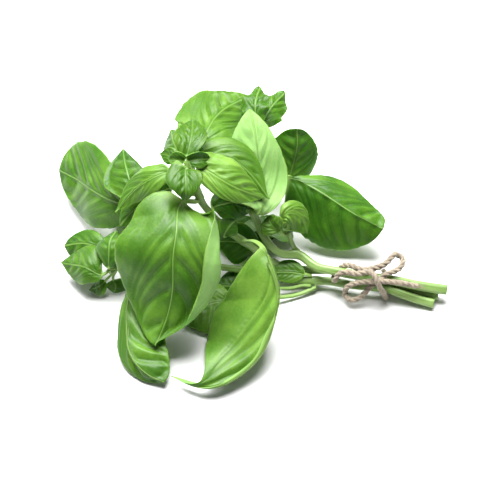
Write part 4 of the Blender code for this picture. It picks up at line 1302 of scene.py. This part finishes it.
@dataclass(frozen=True)
class Twine:
    """The tie: one length of three-ply jute that is wound round the stems and tied in a bow."""

    route: tuple[Point, ...] = TWINE_ROUTE
    samples: int = 1600
    diameter: float = 2.8
    ply_radius: float = 0.74
    lay: float = 8.5
    step: float = 0.33
    sides: int = 54
    uneven: float = 0.07
    fibre_height: float = 0.07
    hairs: int = 520
    end_hairs: int = 46
    hair_radius: float = 0.035
    hair_rings: int = 7
    hair_reach: Pair = (0.8, 2.6)
    end_reach: Pair = (1.6, 4.2)
    hair_lift: Pair = (0.15, 1.1)
    end_lift: Pair = (-0.2, 1.5)
    end_size: float = 0.35

    def frames(self, tangents: Array) -> tuple[Array, Array]:
        """Two directions square to the route that turn with it and never spin about it.

        Each direction is the one before, less its share along the new tangent.

        Args:
            tangents: Unit tangents along the route.

        Returns:
            Two unit vectors for each tangent.
        """
        across = np.zeros_like(tangents)
        across[0] = unit(np.cross((0.0, 0.0, 1.0), tangents[0]))
        for row in range(1, len(tangents)):
            turned = across[row - 1] - across[row - 1] @ tangents[row] * tangents[row]
            across[row] = unit(turned)
        return across, np.cross(tangents, across)

    def strand(self) -> tuple[Array, dict[str, Array]]:
        """The twisted strand: the outline of three round plies that wind round the route.

        In a direction at an angle a from the nearest ply's middle, the outline is at h cos a plus
        the root of (r squared less (h sin a) squared), where r is the ply's radius and h is how
        far its middle is from the route.

        Returns:
            Rings of points, and the strand's attributes.
        """
        line = SmoothLine(self.route, self.samples)
        length = line.length()
        at = np.linspace(0.0, length, round(length / self.step) + 1)
        points, tangents = line.read(at)
        angles = (np.arange(self.sides) * math.tau / self.sides)[None]
        third, run = math.tau / 3, at[:, None]
        turned = angles - math.tau * run / self.lay + third / 2
        ply, which = np.mod(turned, third) - third / 2, np.floor(turned / third)
        offset = self.diameter / 2 - self.ply_radius
        spread = offset * np.cos(ply) + np.sqrt(self.ply_radius**2 - (offset * np.sin(ply)) ** 2)
        spread = spread * (1 + self.uneven * SoftNoise(71).at(run / 4.0, np.zeros_like(run)))
        spread = spread + self.fibre_height * SoftNoise(72).at(ply * 9 + which * 17.3, run / 2.6)
        ends = np.minimum(run, length - run)
        spread = spread * (self.end_size + (1 - self.end_size) * smooth_step(ends, -0.2, 0.9))
        return rings(points, *self.frames(tangents), spread, angles), {
            "turn": ply * 2.0 + which * 3.1,
            "lift": 0.3 * which,
            "along": run * np.ones(spread.shape),
        }

    def fibres(self) -> list[tuple[Array, dict[str, Array]]]:
        """Loose hairs: thin three-sided tubes that leave the strand slantwise and curl.

        A hair starts under the skin and runs along the strand, outwards and round, as a parabola
        with its own random size. The hairs of both ends run on past the strand as a frayed tuft.

        Returns:
            Rings of points and attributes for each hair.
        """
        random = np.random.default_rng(19)
        line = SmoothLine(self.route, self.samples)
        length, count = line.length(), self.hairs + 2 * self.end_hairs
        places, last = 600, self.hairs + self.end_hairs
        ends = (slice(self.hairs, last), slice(last, None))
        points, tangents = line.read(np.linspace(0.0, length, places))
        across, above = self.frames(tangents)
        at = random.uniform(1.0, length - 1.0, count)
        at[ends[0]], at[ends[1]] = 0.35, length - 0.35
        nearest = np.clip(np.round(at / length * (places - 1)).astype(int), 0, places - 1)
        angle = random.uniform(0, math.tau, count)
        way = np.where(random.uniform(size=count) < 0.5, -1.0, 1.0)
        way[ends[0]], way[ends[1]] = -1.0, 1.0
        tuft = np.arange(count) >= self.hairs
        reach, lift = (
            np.where(tuft, random.uniform(*end, count), random.uniform(*hair, count))
            for end, hair in ((self.end_reach, self.hair_reach), (self.end_lift, self.hair_lift))
        )
        curl = random.uniform(-1.0, 1.0, count)
        start = np.where(tuft, random.uniform(0.1, 0.9, count), 1.05)[:, None]
        along = tangents[nearest]
        out = np.cos(angle)[:, None] * across[nearest] + np.sin(angle)[:, None] * above[nearest]
        side = np.cross(along, out)
        share = np.linspace(0.0, 1.0, self.hair_rings)
        path = (points[nearest] + out * start)[:, None]
        for amount, direction, power in (
            (way * reach, along, 1), (lift, out, 1.6), (curl * reach * 0.5, side, 2)
        ):
            path = path + (amount[:, None] * direction)[:, None] * share[:, None] ** power
        path[..., 2] = np.maximum(path[..., 2], self.hair_radius * 2)
        tangent = unit(np.gradient(path, axis=1))
        first = unit(np.cross(tangent, side[:, None] + 0.3 * out[:, None]))
        second = np.cross(tangent, first)
        thin = (self.hair_radius * (1 - 0.6 * share))[:, None]
        turn = (np.arange(3) * math.tau / 3)[None]
        every = np.ones((self.hair_rings, 3))
        return [
            (rings(path[hair], first[hair], second[hair], thin, turn),
             {"turn": every * angle[hair], "lift": every * 0.4, "along": every * at[hair]})
            for hair in range(count)
        ]

    def build(self, finish: JuteFinish) -> None:
        """Joins the strand and its hairs into one piece and dresses it."""
        piece = Skin.piece("jute_twine", [self.strand(), *self.fibres()])
        place(piece, "twine", finish.material())


@dataclass(frozen=True)
class Stems:
    """The three cut stems, each in one piece with its side shoots."""

    table: tuple[Stem, ...] = STEMS

    def build(self, finish: StemFinish) -> None:
        """Builds each main stem with the shoots that join it.

        Args:
            finish: The stems' skin.
        """
        skin = finish.material()
        for stem in self.table:
            if stem.joined_to:
                continue
            tubes = [stem.tube()]
            tubes += [other.tube() for other in self.table if other.joined_to == stem.name]
            place(Skin.piece("cut_" + stem.name, tubes), stem.name, skin)


@dataclass(frozen=True)
class Foliage:
    """All the leaves, each a piece of its own with its stalk."""

    table: tuple[Leaf, ...] = LEAVES

    def build(self, finish: LeafFinish) -> None:
        """Builds and dresses every leaf.

        Args:
            finish: The leaves' skin.
        """
        skin = finish.material()
        stems = {stem.name: stem for stem in STEMS}
        for leaf in self.table:
            blade = Skin.piece("blade_" + leaf.name, [leaf.surface(stems[leaf.stem])])
            place(blade, leaf.name, skin)


@dataclass(frozen=True)
class Studio:
    """A pale floor, soft light from above and a camera that looks down on the bunch."""

    target: Point = (0.0013, -0.0049, 0.01997)
    distance: float = 0.640
    elevation: float = 50.0
    lens: float = 100.0
    sensor: float = 36.0
    floor_size: float = 6.0
    floor_drop: float = 0.0002
    paper: Colour = (0.74, 0.74, 0.74, 1)
    pale_paper: Colour = (0.78, 0.78, 0.78, 1)
    room_light: float = 0.18

    def camera(self) -> None:
        """Sets the camera on its line of sight: distance times the cosine and sine of elevation."""
        data = bpy.data.cameras.new("camera")
        data.lens, data.sensor_width = self.lens, self.sensor
        data.clip_start, data.clip_end = 0.01, 20.0
        camera = stand("camera", data)
        up = math.radians(self.elevation)
        x, y, z = self.target
        camera.location = (x, y - self.distance * math.cos(up), z + self.distance * math.sin(up))
        camera.rotation_euler = (math.pi / 2 - up, 0.0, 0.0)
        bpy.context.scene.camera = camera

    def floor(self) -> None:
        """A large square of pale paper, just under the lowest point of the bunch."""
        half, level = self.floor_size / 2, min(CAD_BOX[0][2], 0.0) - self.floor_drop
        corners = [(x * half, y * half, level) for x, y in ((-1, -1), (1, -1), (1, 1), (-1, 1))]
        mesh = bpy.data.meshes.new("floor")
        mesh.from_pydata(corners, [], [(0, 1, 2, 3)])
        floor = stand("floor", mesh)
        sheet = NodeSheet("pale_paper")
        tone = sheet.blend(sheet.noise(9, 3), self.paper, self.pale_paper)
        mesh.materials.append(sheet.finish(Base_Color=tone, Roughness=0.9, Specular_IOR_Level=0.0))

    def soft_box(self, name: str, spot: Point, size: float, power: float) -> None:
        """A square light that faces the bunch.

        Args:
            name: The light's name.
            spot: Where it hangs, in metres.
            size: Its side in metres.
            power: Its power in watts.
        """
        data = bpy.data.lights.new(name, "AREA")
        data.shape, data.size, data.energy = "SQUARE", size, power
        light = stand(name, data)
        light.location = spot
        x, y, z = np.array(self.target) - np.array(spot)
        tilt = math.atan2(math.hypot(x, y), -z)
        light.rotation_euler = (tilt, 0.0, math.atan2(y, x) - math.pi / 2)

    def light(self) -> None:
        """A white room, a large box overhead and a smaller one from the upper left."""
        world = bpy.data.worlds.new("white_room")
        world.use_nodes = True
        background = world.node_tree.nodes["Background"].inputs
        background["Color"].default_value = (1, 1, 1, 1)
        background["Strength"].default_value = self.room_light
        bpy.context.scene.world = world
        self.soft_box("overhead", (-0.05, 0.28, 0.86), 0.6, 30.0)
        self.soft_box("upper_left", (-0.45, 0.24, 0.7), 0.35, 3.5)
        bpy.context.scene.view_settings.view_transform = "Standard"

    def build(self) -> None:
        """Sets up the camera, the floor and the light."""
        self.camera()
        self.floor()
        self.light()


def main() -> None:
    """Builds the studio, the stems, the leaves and the tie."""
    logging.basicConfig(level=logging.INFO, format="%(name)s %(message)s")
    Studio().build()
    Stems().build(StemFinish())
    Foliage().build(LeafFinish())
    Twine().build(JuteFinish())


if __name__ == "__main__":
    main()
